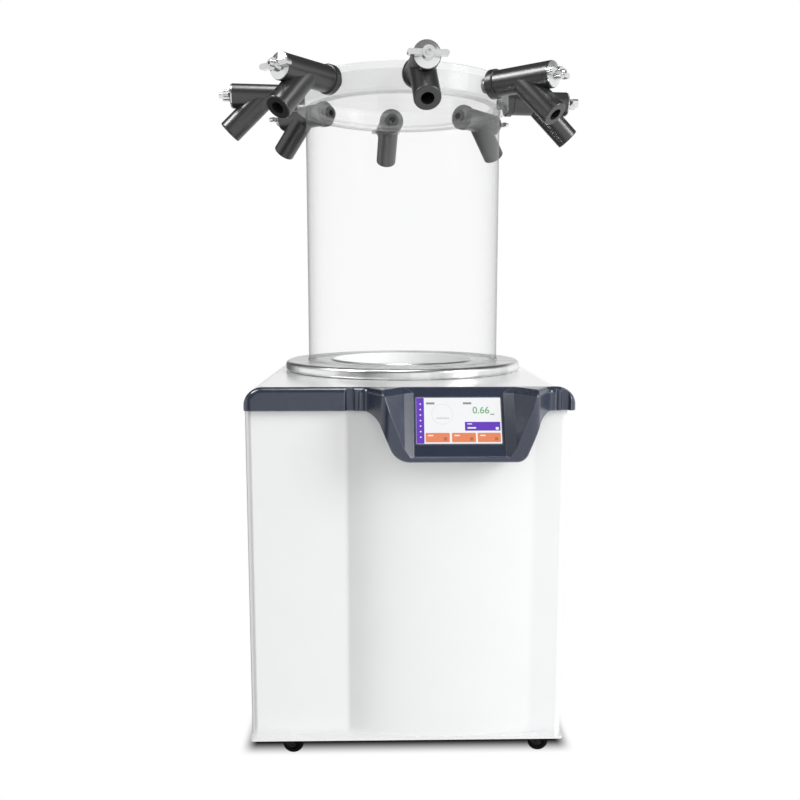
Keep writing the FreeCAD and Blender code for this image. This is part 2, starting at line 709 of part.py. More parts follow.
def caster_fork(x, y):
    """Swivelling fork with its kingpin and two legs, and the wheel's axle through them."""
    top = base_z - 8.0
    wx = x + trail
    disc = Part.makeCylinder(14, 2.6, V(x, y, top - 2.6))
    king = Part.makeCylinder(king_r, 9, V(x, y, top - 1))
    legs = []
    for s in (-1, 1):
        y0 = y + s * (wheel_half + 1.0) if s > 0 else y - wheel_half - 3.2
        outline = [(x - 10, top), (x - 10, top - 4, 2), (wx - 5.5, wheel_r - 5.5, 5.0),
                   (wx + 5.5, wheel_r - 5.5, 5.0), (x + 13, top - 4, 4), (x + 11, top)]
        legs.append(prism(outline, in_front_view(y0), V(0, 2.2, 0)))
    fork = disc.multiFuse([king, *legs]).removeSplitter()
    hole = rod(axle_r, V(wx, y - 20, wheel_r), V(wx, y + 20, wheel_r))
    reach = wheel_half + 4.4
    axle = rod(axle_r, V(wx, y - reach, wheel_r), V(wx, y + reach, wheel_r))
    heads = [rod(axle_r + 1.5, V(wx, y + s * (wheel_half + 3.2), wheel_r),
                 V(wx, y + s * reach, wheel_r)) for s in (-1, 1)]
    return Part.makeCompound([fork.cut(hole), axle.multiFuse(heads).removeSplitter()])


def caster_wheel(x, y):
    wx, h = x + trail, wheel_half
    wheel = rod(wheel_r, V(wx, y - h, wheel_r), V(wx, y + h, wheel_r))
    rims = [e for e in wheel.Edges if e.Curve.TypeId == "Part::GeomCircle"]
    wheel = wheel.makeFillet(3.0, rims)
    for s in (-1, 1):
        dish = rod(9.5, V(wx, y + s * (h - 1.5), wheel_r), V(wx, y + s * (h + 1), wheel_r))
        boss = rod(5.0, V(wx, y + s * (h - 2), wheel_r), V(wx, y + s * h, wheel_r))
        wheel = wheel.cut(dish.cut(boss))
    return wheel.cut(rod(axle_r + axle_gap, V(wx, y - 20, wheel_r), V(wx, y + 20, wheel_r)))


# ---------------------------------------------------------------- refrigeration
def compressor():
    """Hermetic compressor: two-part welded pot, foot plate, terminal box and tube stubs."""
    z0 = panel_z0 + 14.0
    pot = turned([(0, 0), (comp_r - 6, 0, 24.0), (comp_r - 6, comp_h / 2 - 4), (comp_r, comp_h / 2 - 4),
                  (comp_r, comp_h / 2 + 4), (comp_r - 8, comp_h / 2 + 4), (comp_r - 8, comp_h, 30.0),
                  (0, comp_h)])
    pot.translate(V(comp_x, comp_y, z0))
    foot = prism([(comp_x - 85, comp_y - 60, 10), (comp_x + 85, comp_y - 60, 10),
                  (comp_x + 85, comp_y + 60, 10), (comp_x - 85, comp_y + 60, 10)],
                 in_plan(z0 - 4), V(0, 0, 5))
    for x, y in foot_points():
        foot = foot.cut(Part.makeCylinder(7.0, 10, V(x, y, z0 - 6)))
    terminal = box(comp_x - 24, comp_x + 24, comp_y - comp_r - 22, comp_y - comp_r + 14,
                   z0 + 40, z0 + 100)
    return pot.fuse(foot).fuse(terminal).removeSplitter()


def foot_points():
    return [(comp_x + sx * 74, comp_y + sy * 49) for sx in (-1, 1) for sy in (-1, 1)]


def compressor_grommets():
    """Rubber bushes under the compressor's foot plate, one at each corner."""
    made = []
    for x, y in foot_points():
        z0 = panel_z0
        grommet = Part.makeCylinder(11, 10, V(x, y, z0)).fuse(Part.makeCylinder(6.9, 15.5, V(x, y, z0)))
        made.append(grommet.removeSplitter().cut(Part.makeCylinder(3.0, 30, V(x, y, z0 - 5))))
    return Part.makeCompound(made)


def tube_z(row):
    """Height of one of the condenser's tubes, counted from the lowest."""
    return cond_z - cond_h / 2 + cond_h * (row + 0.5) / tube_rows


def condenser():
    """Finned air-cooled condenser: end plates, fins, and a column of tubes."""
    x0, x1 = cond_x - cond_w / 2, cond_x + cond_w / 2
    z0, z1 = cond_z - cond_h / 2, cond_z + cond_h / 2
    parts = [box(x, x + 2, cond_y0, cond_y1, z0, z1) for x in (x0, x1 - 2)]
    step = (cond_w - 4.0) / fin_count
    parts += [box(x0 + 2 + i * step, x0 + 2.8 + i * step, cond_y0 + 2, cond_y1 - 2, z0 + 2, z1 - 2)
              for i in range(1, fin_count)]
    for row in range(tube_rows):
        parts.append(rod(4.5, V(x0 - 6, tube_y, tube_z(row)), V(x1 + 6, tube_y, tube_z(row))))
    rail_y = 256.5
    parts.append(box(x0, x1, cond_y0, rail_y, panel_z0, panel_z0 + 2))
    parts += [box(x, x + 2, cond_y0, rail_y, panel_z0, z0 + 1) for x in (x0, x1 - 2)]
    return parts[0].multiFuse(parts[1:]).removeSplitter()


def fan_axis(y):
    return V(cond_x, y, cond_z)


def fan_shroud():
    """Square plate with a round mouth in front of the condenser, and motor struts."""
    half = 92.0
    plate = box(cond_x - half, cond_x + half, cond_y0 - 4, cond_y0 - 2, panel_z0, cond_z + half)
    rim = rod(fan_r + 5, fan_axis(fan_y - 6), fan_axis(cond_y0 - 2))
    shroud = plate.fuse(rim).cut(rod(fan_r + 3, fan_axis(fan_y - 20), fan_axis(cond_y0 + 5)))
    struts = []
    for angle in (45, 135):
        strut = box(-(fan_r + 4.5), fan_r + 4.5, fan_y - 12, fan_y - 6, -4, 4)
        strut.rotate(V(0, 0, 0), Y, angle)
        strut.translate(V(cond_x, 0, cond_z))
        struts.append(strut)
    seat = rod(20.0, fan_axis(fan_y - 12), fan_axis(fan_y - 6))
    hole = rod(5.0, fan_axis(fan_y - 20), fan_axis(fan_y))
    return shroud.multiFuse([*struts, seat]).removeSplitter().cut(hole)


def fan_motor():
    can = rod(22.0, fan_axis(fan_y - 52), fan_axis(fan_y - 12))
    shaft = rod(3.0, fan_axis(fan_y - 13), fan_axis(fan_y + 12))
    return can.fuse(shaft).removeSplitter()


def fan_rotor():
    """Hub with five pitched blades."""
    hub = rod(22.0, fan_axis(fan_y), fan_axis(fan_y + 14))
    blades = []
    for i in range(5):
        blade = box(-13, 13, -1.2, 1.2, 20, fan_r)
        blade.rotate(V(0, 0, 0), Z, 26)
        blade.translate(V(0, fan_y + 8, 0))
        blade.rotate(V(0, 0, 0), Y, i * 72.0)
        blade.translate(V(cond_x, 0, cond_z))
        blades.append(blade)
    rotor = hub.multiFuse(blades).removeSplitter()
    return rotor.cut(rod(3.0 + axle_gap, fan_axis(fan_y - 5), fan_axis(fan_y + 12.5)))


def filter_drier():
    """Copper filter drier, standing between the condenser and the capillary."""
    shape = turned([(0, 0), (4, 0), (4, 10), (13, 20, 4.0), (13, 80, 4.0), (4, 90), (4, 100), (0, 100)])
    shape.translate(V(drier_x, drier_y, drier_z))
    return shape


def discharge_line():
    x, y, z = comp_x + 20, comp_y + 20, tube_z(tube_rows - 1)
    return pipe([V(x, y, panel_z0 + 14 + comp_h), V(x, y, z + 14), V(x, tube_y, z + 14),
                 V(x + 40, tube_y, z), V(tube_end, tube_y, z)], 10.0, 4.0, 3.0)


def liquid_line():
    z = tube_z(0)
    return pipe([V(tube_end, tube_y, z), V(drier_x, tube_y, z), V(drier_x, drier_y, z),
                 V(drier_x, drier_y, drier_z - 0.2)], 8.0, 4.0, 3.0)


def capillary_line():
    """From the drier to the lowest turn of the evaporator coil."""
    return pipe([V(drier_x, drier_y, drier_z + 100.2), V(drier_x, drier_y, 282), V(190, 150, 282),
                 V(190, -24, 320), V(190, -24, coil_z0), V(coil_r + 34, -24, coil_z0)], 12.0, 2.5, 1.6)


def suction_line():
    z_top = panel_z0 + 14 + comp_h
    return pipe([V(comp_x - 20, comp_y - 16, z_top), V(comp_x - 20, comp_y - 16, 270),
                 V(-200, 60, 290), V(-200, 60, 470), V(-165, 60, 470)], 12.0, 6.0, 5.0)


# ---------------------------------------------------------------- services
def vacuum_pipe():
    """Straight pipe from the trap through the rear panel, ending in a clamp flange."""
    start = math.sqrt((trap_r + trap_wall) ** 2 - vac_r**2) - 0.2
    end = -console_y
    tube = rod(vac_r, V(0, start, vac_z), V(0, end, vac_z))
    lip = rod(20.0, V(0, end - 3, vac_z), V(0, end, vac_z))
    neck = Part.makeCone(vac_r, 20.0, 3.0, V(0, end - 6, vac_z), Y)
    pipe_solid = tube.fuse(lip).fuse(neck).removeSplitter()
    pipe_solid = pipe_solid.cut(rod(vac_r - vac_wall, V(0, start - 5, vac_z), V(0, end + 1, vac_z)))
    return pipe_solid.cut(Part.makeCylinder(trap_r + trap_wall + 0.05, 60, V(0, 0, vac_z - 30)))


def drain_pipe():
    return pipe([V(0, 0, trap_bottom_z - 0.1), V(0, 0, drain_z), V(0, rear_y + 5, drain_z)],
                8.5, drain_r, drain_r - 1.5)


def drain_valve():
    """Ball valve behind the rear panel, with a hose barb."""
    y0 = drain_valve_y
    body = rod(9.0, V(0, y0, drain_z), V(0, y0 + 24, drain_z))
    for y in (y0, y0 + 19):
        nut = Part.makePolygon([V(11 * math.cos(math.radians(a)), y, drain_z + 11 * math.sin(math.radians(a)))
                                for a in range(0, 361, 60)])
        body = body.fuse(Part.Face(nut).extrude(V(0, 5, 0)))
    stem = rod(5.0, V(0, y0 + 12, drain_z), V(0, y0 + 12, lever_z - 0.3))
    pin = rod(lever_pin_r, V(0, y0 + 12, drain_z), V(0, y0 + 12, lever_z + 4.0))
    cap = rod(4.5, V(0, y0 + 12, lever_z + 3.3), V(0, y0 + 12, lever_z + 6.3))
    barb = rod(5.0, V(0, y0 + 23, drain_z), V(0, -console_y - 1, drain_z))
    body = body.multiFuse([stem, pin, cap, barb]).removeSplitter()
    return body.cut(rod(3.5, V(0, y0 - 1, drain_z), V(0, -console_y + 5, drain_z)))


def drain_lever():
    """Flat lever on the ball valve's stem; it turns a quarter turn to open."""
    y = drain_valve_y + 12
    arm = prism([(-7, y - 7, 5), (50, y - 6, 5.5), (50, y + 6, 5.5), (-7, y + 7, 5)],
                in_plan(lever_z), V(0, 0, 3))
    return arm.cut(rod(lever_pin_r + axle_gap, V(0, y, lever_z - 5), V(0, y, lever_z + 5)))


def power_inlet():
    """Rear power module: appliance inlet with three pins, beside the switch well."""
    y0, y1 = rear_y - inlet_depth, rear_y + 2.5
    x0, x1, z = inlet_x - 25, switch_x + 22, inlet_z
    shell = box(x0 + 4.5, x1 - 4.5, y0, rear_y, z - 15.5, z + 15.5)
    rim = prism([(x0, z - 20, 3), (x1, z - 20, 3), (x1, z + 20, 3), (x0, z + 20, 3)],
                in_front_view(rear_y), V(0, 2.5, 0))
    body = shell.fuse(rim).removeSplitter()
    low, high = inlet_x - 13, inlet_x + 13
    socket = prism([(low, z - 12, 2), (high, z - 12, 2), (high, z + 6), (high - 5, z + 12),
                    (low + 5, z + 12), (low, z + 6)], in_front_view(y1 + 1), V(0, -(y1 - y0) + 7, 0))
    body = body.cut(socket)
    pins = [box(inlet_x + dx - 1, inlet_x + dx + 1, y0 + 4, rear_y - 3, z + dz - 2.5, z + dz + 2.5)
            for dx, dz in ((0, 6), (-6, -3), (6, -3))]
    well = box(switch_x - 12, switch_x + 12, rear_y - 16, rear_y + 4, z - 12, z + 12)
    return body.cut(well).multiFuse(pins).removeSplitter()


def power_rocker():
    """Rocker of the main switch, which tips about its middle."""
    half_x, half_z, mid = 11.2, 10.8, inlet_z
    z0, z1 = mid - half_z, mid + half_z
    side = [(rear_y - 9, mid - 4), (rear_y - 3, z0), (rear_y + 2.4, z0 + 0.6), (rear_y + 3.4, mid),
            (rear_y + 5.4, z1 - 0.6), (rear_y - 2, z1), (rear_y - 9, mid + 4)]
    return prism(side, in_side_view(switch_x - half_x), V(2 * half_x, 0, 0))


def control_board():
    """Controller on its carrier plate beside the trap: relays, terminals, transformer."""
    x = board_x
    plate = box(x, x + 2, -90, 70, 330, 500)
    parts = [box(x - 26, x + 0.5, -80, -40, 345, 390), box(x - 18, x + 0.5, -30, 0, 345, 372),
             box(x - 18, x + 0.5, 10, 40, 345, 372), box(x - 14, x + 0.5, -80, 55, 470, 484),
             box(x - 5, x + 0.5, -30, 10, 410, 450)]
    caps = [Part.makeCylinder(8, 24, V(x + 0.5, y, 420), V(-1, 0, 0)) for y in (-70, -50)]
    brackets = [box(x + 1, 225.5, y, y + 12, 330, 332) for y in (-80, 50)]
    return plate.multiFuse([*parts, *caps, *brackets]).removeSplitter()


def panel_screws():
    """Pan-head screws that hold the rear panel."""
    made = []
    for x, z in screw_points():
        shank = rod(1.9, V(x, 277, z), V(x, rear_y + 1, z))
        head = rod(4.2, V(x, rear_y, z), V(x, rear_y + 2.6, z))
        rim = [e for e in head.Edges if e.Curve.TypeId == "Part::GeomCircle"
               and e.Curve.Center.y > rear_y + 2]
        head = head.makeFillet(1.2, rim)
        slot = box(x - 3, x + 3, rear_y + 1.6, rear_y + 3, z - 0.5, z + 0.5)
        cross = box(x - 0.5, x + 0.5, rear_y + 1.6, rear_y + 3, z - 3, z + 3)
        made.append(head.fuse(shank).removeSplitter().cut(slot).cut(cross))
    return Part.makeCompound(made)


# ---------------------------------------------------------------- all parts
def build():
    nodes = {
        "base_plate": base_plate(),
        "frame": frame(),
        "front_panel": front_panel(),
        "left_panel": side_panel(-1),
        "right_panel": side_panel(1),
        "rear_panel": rear_panel(),
        "top_cover": top_cover(),
        "front_bezel": front_bezel(),
        "screen_module": screen_module(),
        "panel_screws": panel_screws(),
        "trap_pot": trap_pot(),
        "trap_floor": trap_floor(),
        "trap_plate": trap_plate(),
        "evaporator_coil": evaporator_coil(),
        "insulation_jacket": insulation_jacket(),
        "base_gasket": flat_gasket(flange_z),
        "chamber_cylinder": chamber_cylinder(),
        "top_gasket": flat_gasket(cyl_z1),
        "manifold_drum": manifold_drum(),
        "compressor": compressor(),
        "compressor_grommets": compressor_grommets(),
        "condenser": condenser(),
        "fan_shroud": fan_shroud(),
        "fan_motor": fan_motor(),
        "fan_rotor": fan_rotor(),
        "filter_drier": filter_drier(),
        "refrigerant_lines": Part.makeCompound([discharge_line(), liquid_line(), capillary_line(),
                                                suction_line()]),
        "vacuum_pipe": vacuum_pipe(),
        "drain_pipe": drain_pipe(),
        "drain_valve": drain_valve(),
        "drain_lever": drain_lever(),
        "power_inlet": power_inlet(),
        "power_rocker": power_rocker(),
        "control_board": control_board(),
        "caster_plates": Part.makeCompound([caster_plate(x, y) for x, y in caster_spots()]),
    }
    for i, (x, y) in enumerate(caster_spots(), 1):
        nodes[f"caster_fork_{i}"] = caster_fork(x, y)
        nodes[f"caster_wheel_{i}"] = caster_wheel(x, y)
    body, key = valve_body(), valve_key()
    for i, angle in enumerate(valve_angles(), 1):
        nodes[f"valve_body_{i}"] = turned_to(body, angle - 90.0)
        nodes[f"valve_key_{i}"] = turned_to(key, angle - 90.0)
    return nodes


def export(nodes):
    os.makedirs("parts", exist_ok=True)
    for name, shape in nodes.items():
        solids = shape.Solids
        print(f"{name:22s} solids {len(solids)} valid {shape.isValid()} volume {shape.Volume / 1000:.1f} cm3")
        shape.exportStep(f"parts/{name}.step")


export(build())
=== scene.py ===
import json
import math

import bmesh
import bpy
from mathutils import Euler, Matrix, Vector


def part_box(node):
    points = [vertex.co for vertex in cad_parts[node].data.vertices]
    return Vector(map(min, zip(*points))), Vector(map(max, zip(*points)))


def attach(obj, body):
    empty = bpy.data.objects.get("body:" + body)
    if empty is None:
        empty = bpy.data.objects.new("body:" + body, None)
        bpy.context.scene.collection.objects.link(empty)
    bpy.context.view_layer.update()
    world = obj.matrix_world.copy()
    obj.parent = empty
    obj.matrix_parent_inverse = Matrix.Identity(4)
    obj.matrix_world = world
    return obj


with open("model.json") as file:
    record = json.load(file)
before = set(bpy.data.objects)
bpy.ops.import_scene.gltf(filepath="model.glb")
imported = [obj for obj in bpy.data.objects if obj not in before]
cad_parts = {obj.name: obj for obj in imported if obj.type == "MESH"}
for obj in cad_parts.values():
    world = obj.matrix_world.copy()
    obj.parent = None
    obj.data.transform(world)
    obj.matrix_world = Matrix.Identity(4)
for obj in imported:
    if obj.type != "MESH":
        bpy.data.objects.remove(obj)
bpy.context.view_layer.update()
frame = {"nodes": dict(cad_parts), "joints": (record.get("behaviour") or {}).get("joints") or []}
nodes = frame["nodes"]
joints = {joint["name"]: joint for joint in frame["joints"]}
scene = bpy.context.scene
print("frame loaded:", len(nodes), "nodes")

# ---------- camera
cameraSpec = {"place": (-0.03292, -1.49256, 0.71694), "turn": 1.09, "tilt": 7.48, "lens": 37.9}


def makeCamera(spec):
    turn, tilt = math.radians(spec["turn"]), math.radians(spec["tilt"])
    look = Vector((math.sin(turn) * math.cos(tilt), math.cos(turn) * math.cos(tilt), -math.sin(tilt)))
    data = bpy.data.cameras.new("camera")
    data.lens = spec["lens"]
    data.sensor_width = 36.0
    data.clip_end = 200.0
    camera = bpy.data.objects.new("camera", data)
    camera.location = spec["place"]
    camera.rotation_euler = look.to_track_quat("-Z", "Y").to_euler()
    scene.collection.objects.link(camera)
    scene.camera = camera


makeCamera(cameraSpec)


# ---------- small helpers
def link(tree, source, target):
    tree.links.new(source, target)


def feed(tree, value, target):
    # a socket is linked to the target, and a plain value is set on it
    if isinstance(value, bpy.types.NodeSocket):
        link(tree, value, target)
    else:
        target.default_value = value


def addNode(tree, kind, inputs=None, **settings):
    node = tree.nodes.new(kind)
    for name, value in settings.items():
        setattr(node, name, value)
    for label, value in (inputs or {}).items():
        feed(tree, value, node.inputs[label])
    return node


def mathNode(tree, operation, first, second, clamp=False):
    return addNode(tree, "ShaderNodeMath", {0: first, 1: second},
                   operation=operation, use_clamp=clamp).outputs[0]


def vectorNode(tree, operation, *vectors):
    node = addNode(tree, "ShaderNodeVectorMath", dict(enumerate(vectors)), operation=operation)
    return node.outputs["Value" if operation in ("DOT_PRODUCT", "LENGTH") else "Vector"]


def combined(tree, x=0.0, y=0.0, z=0.0):
    return addNode(tree, "ShaderNodeCombineXYZ", {0: x, 1: y, 2: z}).outputs[0]


def separated(tree, vector):
    return addNode(tree, "ShaderNodeSeparateXYZ", {0: vector}).outputs


def mapped(tree, value, low, high, start=0.0, end=1.0):
    return addNode(tree, "ShaderNodeMapRange", {
        "Value": value, "From Min": low, "From Max": high, "To Min": start, "To Max": end},
        interpolation_type="SMOOTHSTEP").outputs["Result"]


def mixFloat(tree, factor, low, high):
    return addNode(tree, "ShaderNodeMix", {0: factor, 2: low, 3: high}, data_type="FLOAT").outputs[0]


def mixColour(tree, factor, low, high, target=None):
    low, high = ((*value, 1.0) if isinstance(value, tuple) else value for value in (low, high))
    mixed = addNode(tree, "ShaderNodeMix", {0: factor, 6: low, 7: high}, data_type="RGBA").outputs[2]
    if target is not None:
        link(tree, mixed, target)
    return mixed


def meshObject(name, mesh):
    piece = bpy.data.objects.new(name, mesh)
    scene.collection.objects.link(piece)
    return piece


def meshFrom(work, name):
    mesh = bpy.data.meshes.new(name)
    work.to_mesh(mesh)
    work.free()
    return mesh


def plainMesh(holder):
    # the final mesh of an object, which is then removed
    bpy.context.view_layer.update()
    graph = bpy.context.evaluated_depsgraph_get()
    mesh = bpy.data.meshes.new_from_object(holder.evaluated_get(graph))
    bpy.data.objects.remove(holder)
    return mesh


def smoothByAngle(mesh, degrees=35.0):
    work = bmesh.new()
    work.from_mesh(mesh)
    limit = math.radians(degrees)
    for face in work.faces:
        face.smooth = True
    for edge in work.edges:
        edge.smooth = len(edge.link_faces) == 2 and edge.calc_face_angle(0.0) < limit
    work.to_mesh(mesh)
    work.free()


# ---------- shader groups
def shaderGroup(name, inputs, outputs):
    tree = bpy.data.node_groups.new(name, "ShaderNodeTree")
    for label, value in inputs.items():
        kind = "NodeSocketVector" if isinstance(value, tuple) else "NodeSocketFloat"
        tree.interface.new_socket(name=label, in_out="INPUT", socket_type=kind).default_value = value
    for label in outputs:
        tree.interface.new_socket(name=label, in_out="OUTPUT", socket_type="NodeSocketFloat")
    return tree, tree.nodes.new("NodeGroupInput").outputs, tree.nodes.new("NodeGroupOutput").inputs


def objectPlace(tree):
    return addNode(tree, "ShaderNodeTexCoord").outputs["Object"]


def noiseNode(tree, vector, scale, detail=2.0):
    return addNode(tree, "ShaderNodeTexNoise", {
        "Vector": vector, "Scale": scale, "Detail": detail}).outputs["Fac"]


def acrossAxis(tree, place):
    # the level part of a position, and its length
    flat = vectorNode(tree, "MULTIPLY", place, (1.0, 1.0, 0.0))
    return flat, vectorNode(tree, "LENGTH", flat)


def makeGrain(fineShare=0.35):
    # fine surface texture, and a slow drift that varies tone and gloss
    tree, entry, leave = shaderGroup(
        "surfaceGrain",
        {"Grain Scale": 900.0, "Drift Scale": 14.0, "Rough Low": 0.3, "Rough High": 0.4},
        ("Height", "Roughness", "Drift"))
    place = objectPlace(tree)
    fine = noiseNode(tree, place, entry["Grain Scale"], detail=3.0)
    slow = noiseNode(tree, place, entry["Drift Scale"], detail=4.0)
    share = mathNode(tree, "ADD", mathNode(tree, "MULTIPLY", fine, fineShare),
                     mathNode(tree, "MULTIPLY", slow, 1.0 - fineShare))
    link(tree, fine, leave["Height"])
    link(tree, mixFloat(tree, share, entry["Rough Low"], entry["Rough High"]), leave["Roughness"])
    link(tree, slow, leave["Drift"])
    return tree


def makeEdge():
    # finds corners, where a look paints its edge colour: painted shade on the white enamel, the
    # rubber and the keys, a painted highlight on the navy shell, and a lighter edge tone on the other
    # paints and plastics
    tree, entry, leave = shaderGroup("edgeFinder", {"Radius": 0.0015, "Gain": 2.0}, ("Mask",))
    bevel = addNode(tree, "ShaderNodeBevel", {"Radius": entry["Radius"]}, samples=4)
    normal = addNode(tree, "ShaderNodeNewGeometry").outputs["Normal"]
    alike = vectorNode(tree, "DOT_PRODUCT", bevel.outputs["Normal"], normal)
    away = mathNode(tree, "SUBTRACT", 1.0, alike)
    link(tree, mathNode(tree, "MULTIPLY", away, entry["Gain"], clamp=True), leave["Mask"])
    return tree


def makeBrushing():
    # streaks: noise on coordinates that are stretched along the brushing
    tree, entry, leave = shaderGroup(
        "brushing",
        {"Stretch": (1.0, 1.0, 1.0), "Scale": 900.0, "Rough Low": 0.12, "Rough High": 0.3},
        ("Height", "Roughness"))
    stretched = vectorNode(tree, "MULTIPLY", objectPlace(tree), entry["Stretch"])
    streak = noiseNode(tree, stretched, entry["Scale"], detail=3.0)
    link(tree, streak, leave["Height"])
    link(tree, mixFloat(tree, streak, entry["Rough Low"], entry["Rough High"]), leave["Roughness"])
    return tree


def makeTurning(smearScale=22.0):
    # rings about Z, left by a lathe or a polishing wheel, under broad smears
    tree, entry, leave = shaderGroup(
        "turnedRings",
        {"Scale": 500.0, "Rough Low": 0.08, "Rough High": 0.22},
        ("Height", "Roughness"))
    place = objectPlace(tree)
    radius = acrossAxis(tree, place)[1]
    ringPlace = combined(tree, radius, separated(tree, place)["Z"])
    rings = noiseNode(tree, ringPlace, entry["Scale"], detail=3.0)
    smears = noiseNode(tree, place, smearScale)
    share = mathNode(tree, "MULTIPLY", mathNode(tree, "ADD", rings, smears), 0.5)
    link(tree, rings, leave["Height"])
    link(tree, mixFloat(tree, share, entry["Rough Low"], entry["Rough High"]), leave["Roughness"])
    return tree


def makeAxisDistance():
    # distance from the machine's upright axis, and fans of painted reflection, light and dark, about
    # that axis
    tree, entry, leave = shaderGroup("axisDistance", {"Sheen Fan Scale": 3.0}, ("Radius", "Sheen Fans"))
    flat, radius = acrossAxis(tree, objectPlace(tree))
    link(tree, radius, leave["Radius"])
    sheenFans = noiseNode(tree, vectorNode(tree, "NORMALIZE", flat), entry["Sheen Fan Scale"])
    link(tree, sheenFans, leave["Sheen Fans"])
    return tree


grain, edge, brushing, turning = makeGrain(), makeEdge(), makeBrushing(), makeTurning()
axisDistance = makeAxisDistance()


# ---------- materials
def newMaterial(name, sockets):
    made = bpy.data.materials.new(name)
    made.use_nodes = True
    shader = made.node_tree.nodes["Principled BSDF"]
    for label, value in sockets.items():
        shader.inputs[label].default_value = (*value, 1.0) if isinstance(value, tuple) else value
    return made, made.node_tree, shader


def useGroup(tree, group, values):
    node = addNode(tree, "ShaderNodeGroup", node_tree=group)
    for label, value in values.items():
        node.inputs[label].default_value = value
    return node.outputs


def roughSpan(look):
    return dict(zip(("Rough Low", "Rough High"), look["rough"]))


def bumpFrom(tree, shader, height, distance):
    bump = addNode(tree, "ShaderNodeBump", {"Height": height, "Distance": distance, "Strength": 1.0})
    link(tree, bump.outputs["Normal"], shader.inputs["Normal"])


def grainMaterial(name, look):
    # paint, plastic, rubber and glass: drifting tone, fine grain, and an edge colour along corners,
    # painted shade on some looks and a painted highlight on others
    made, tree, shader = newMaterial(name, look.get("shader", {}))
    surface = useGroup(tree, grain, {
        "Grain Scale": look["grain"], "Drift Scale": look.get("drift", 14.0), **roughSpan(look)})
    colour = mixColour(tree, surface["Drift"], look["colour"], look["drifted"])
    # painted light along corners: a darker edge colour is painted shade, the navy shell's lighter one
    # is a painted highlight, other paints are simply lighter there
    if "edge" in look:
        corner = useGroup(tree, edge, {"Radius": look["edgeRadius"], "Gain": look["edgeGain"]})
        colour = mixColour(tree, corner["Mask"], colour, look["edge"])
    link(tree, colour, shader.inputs["Base Color"])
    link(tree, surface["Roughness"], shader.inputs["Roughness"])
    if "depth" in look:
        bumpFrom(tree, shader, surface["Height"], look["depth"])
    return made


# the white enamel's darker edge colour is painted shade along its corners
enamelLook = {
    "colour": (0.84, 0.845, 0.85), "drifted": (0.87, 0.872, 0.875), "grain": 700.0,
    "rough": (0.20, 0.26), "depth": 0.000005,
    "edge": (0.78, 0.785, 0.79), "edgeRadius": 0.002, "edgeGain": 0.8,
    "shader": {"Metallic": 0.26, "Coat Weight": 0.25, "Coat Roughness": 0.15}}
# the navy shell's light edge colour is a painted highlight along its rims and grooves
shellLook = {
    "colour": (0.020, 0.028, 0.052), "drifted": (0.026, 0.035, 0.062), "grain": 1500.0,
    "rough": (0.22, 0.32), "depth": 0.00002,
    "edge": (0.26, 0.30, 0.38), "edgeRadius": 0.003, "edgeGain": 2.5,
    "shader": {"Coat Weight": 0.55, "Coat Roughness": 0.22}}
# the rubber's near-black edge colour is painted shade along its corners
rubberLook = {
    "colour": (0.016, 0.016, 0.017), "drifted": (0.024, 0.024, 0.025), "grain": 1100.0,
    "rough": (0.28, 0.36), "depth": 0.000005,
    "edge": (0.005, 0.005, 0.005), "edgeRadius": 0.0016, "edgeGain": 1.2,
    "shader": {"Specular IOR Level": 0.9}}
tyreLook = {
    "colour": (0.003, 0.003, 0.003), "drifted": (0.005, 0.005, 0.006), "grain": 900.0,
    "rough": (0.6, 0.75), "depth": 0.00004, "shader": {"Specular IOR Level": 0.08}}
# the keys' dark edge colour is a painted dark reflection along their rims
keyLook = {
    "colour": (0.74, 0.745, 0.75), "drifted": (0.84, 0.845, 0.85), "grain": 600.0,
    "rough": (0.12, 0.20), "depth": 0.00001,
    "edge": (0.30, 0.305, 0.31), "edgeRadius": 0.0012, "edgeGain": 1.4,
    "shader": {"Metallic": 0.85}}
foamLook = {
    "colour": (0.52, 0.46, 0.30), "drifted": (0.66, 0.60, 0.42), "grain": 420.0,
    "rough": (0.8, 0.95), "depth": 0.0003}
blackPaintLook = {
    "colour": (0.006, 0.006, 0.006), "drifted": (0.010, 0.010, 0.011), "grain": 600.0,
    "rough": (0.40, 0.55), "depth": 0.00004,
    "edge": (0.02, 0.02, 0.02), "edgeRadius": 0.0015, "edgeGain": 1.0,
    "shader": {"Specular IOR Level": 0.15}}
framePaintLook = {
    "colour": (0.22, 0.23, 0.24), "drifted": (0.28, 0.29, 0.30), "grain": 500.0,
    "rough": (0.5, 0.65), "depth": 0.00006,
    "edge": (0.34, 0.35, 0.36), "edgeRadius": 0.0012, "edgeGain": 1.2}
mouldedBlackLook = {
    "colour": (0.014, 0.014, 0.015), "drifted": (0.022, 0.022, 0.024), "grain": 1300.0,
    "rough": (0.38, 0.5), "depth": 0.00004,
    "edge": (0.05, 0.05, 0.055), "edgeRadius": 0.0008, "edgeGain": 1.0}
leverLook = {
    "colour": (0.42, 0.03, 0.02), "drifted": (0.50, 0.045, 0.03), "grain": 900.0,
    "rough": (0.3, 0.42), "depth": 0.00004,
    "edge": (0.6, 0.12, 0.08), "edgeRadius": 0.0008, "edgeGain": 1.0}
boardLook = {
    "colour": (0.02, 0.13, 0.06), "drifted": (0.035, 0.19, 0.09), "grain": 260.0,
    "rough": (0.3, 0.5), "depth": 0.0001, "shader": {"Coat Weight": 0.3}}
satinLook = {
    "colour": (0.88, 0.885, 0.89), "drifted": (0.93, 0.932, 0.935), "grain": 500.0,
    "rough": (0.42, 0.55), "depth": 0.00004, "shader": {"Metallic": 0.1}}
glassLook = {
    "colour": (0.012, 0.014, 0.02), "drifted": (0.02, 0.022, 0.03), "grain": 900.0, "drift": 20.0,
    "rough": (0.08, 0.14), "shader": {"Coat Weight": 1.0, "Coat Roughness": 0.03}}


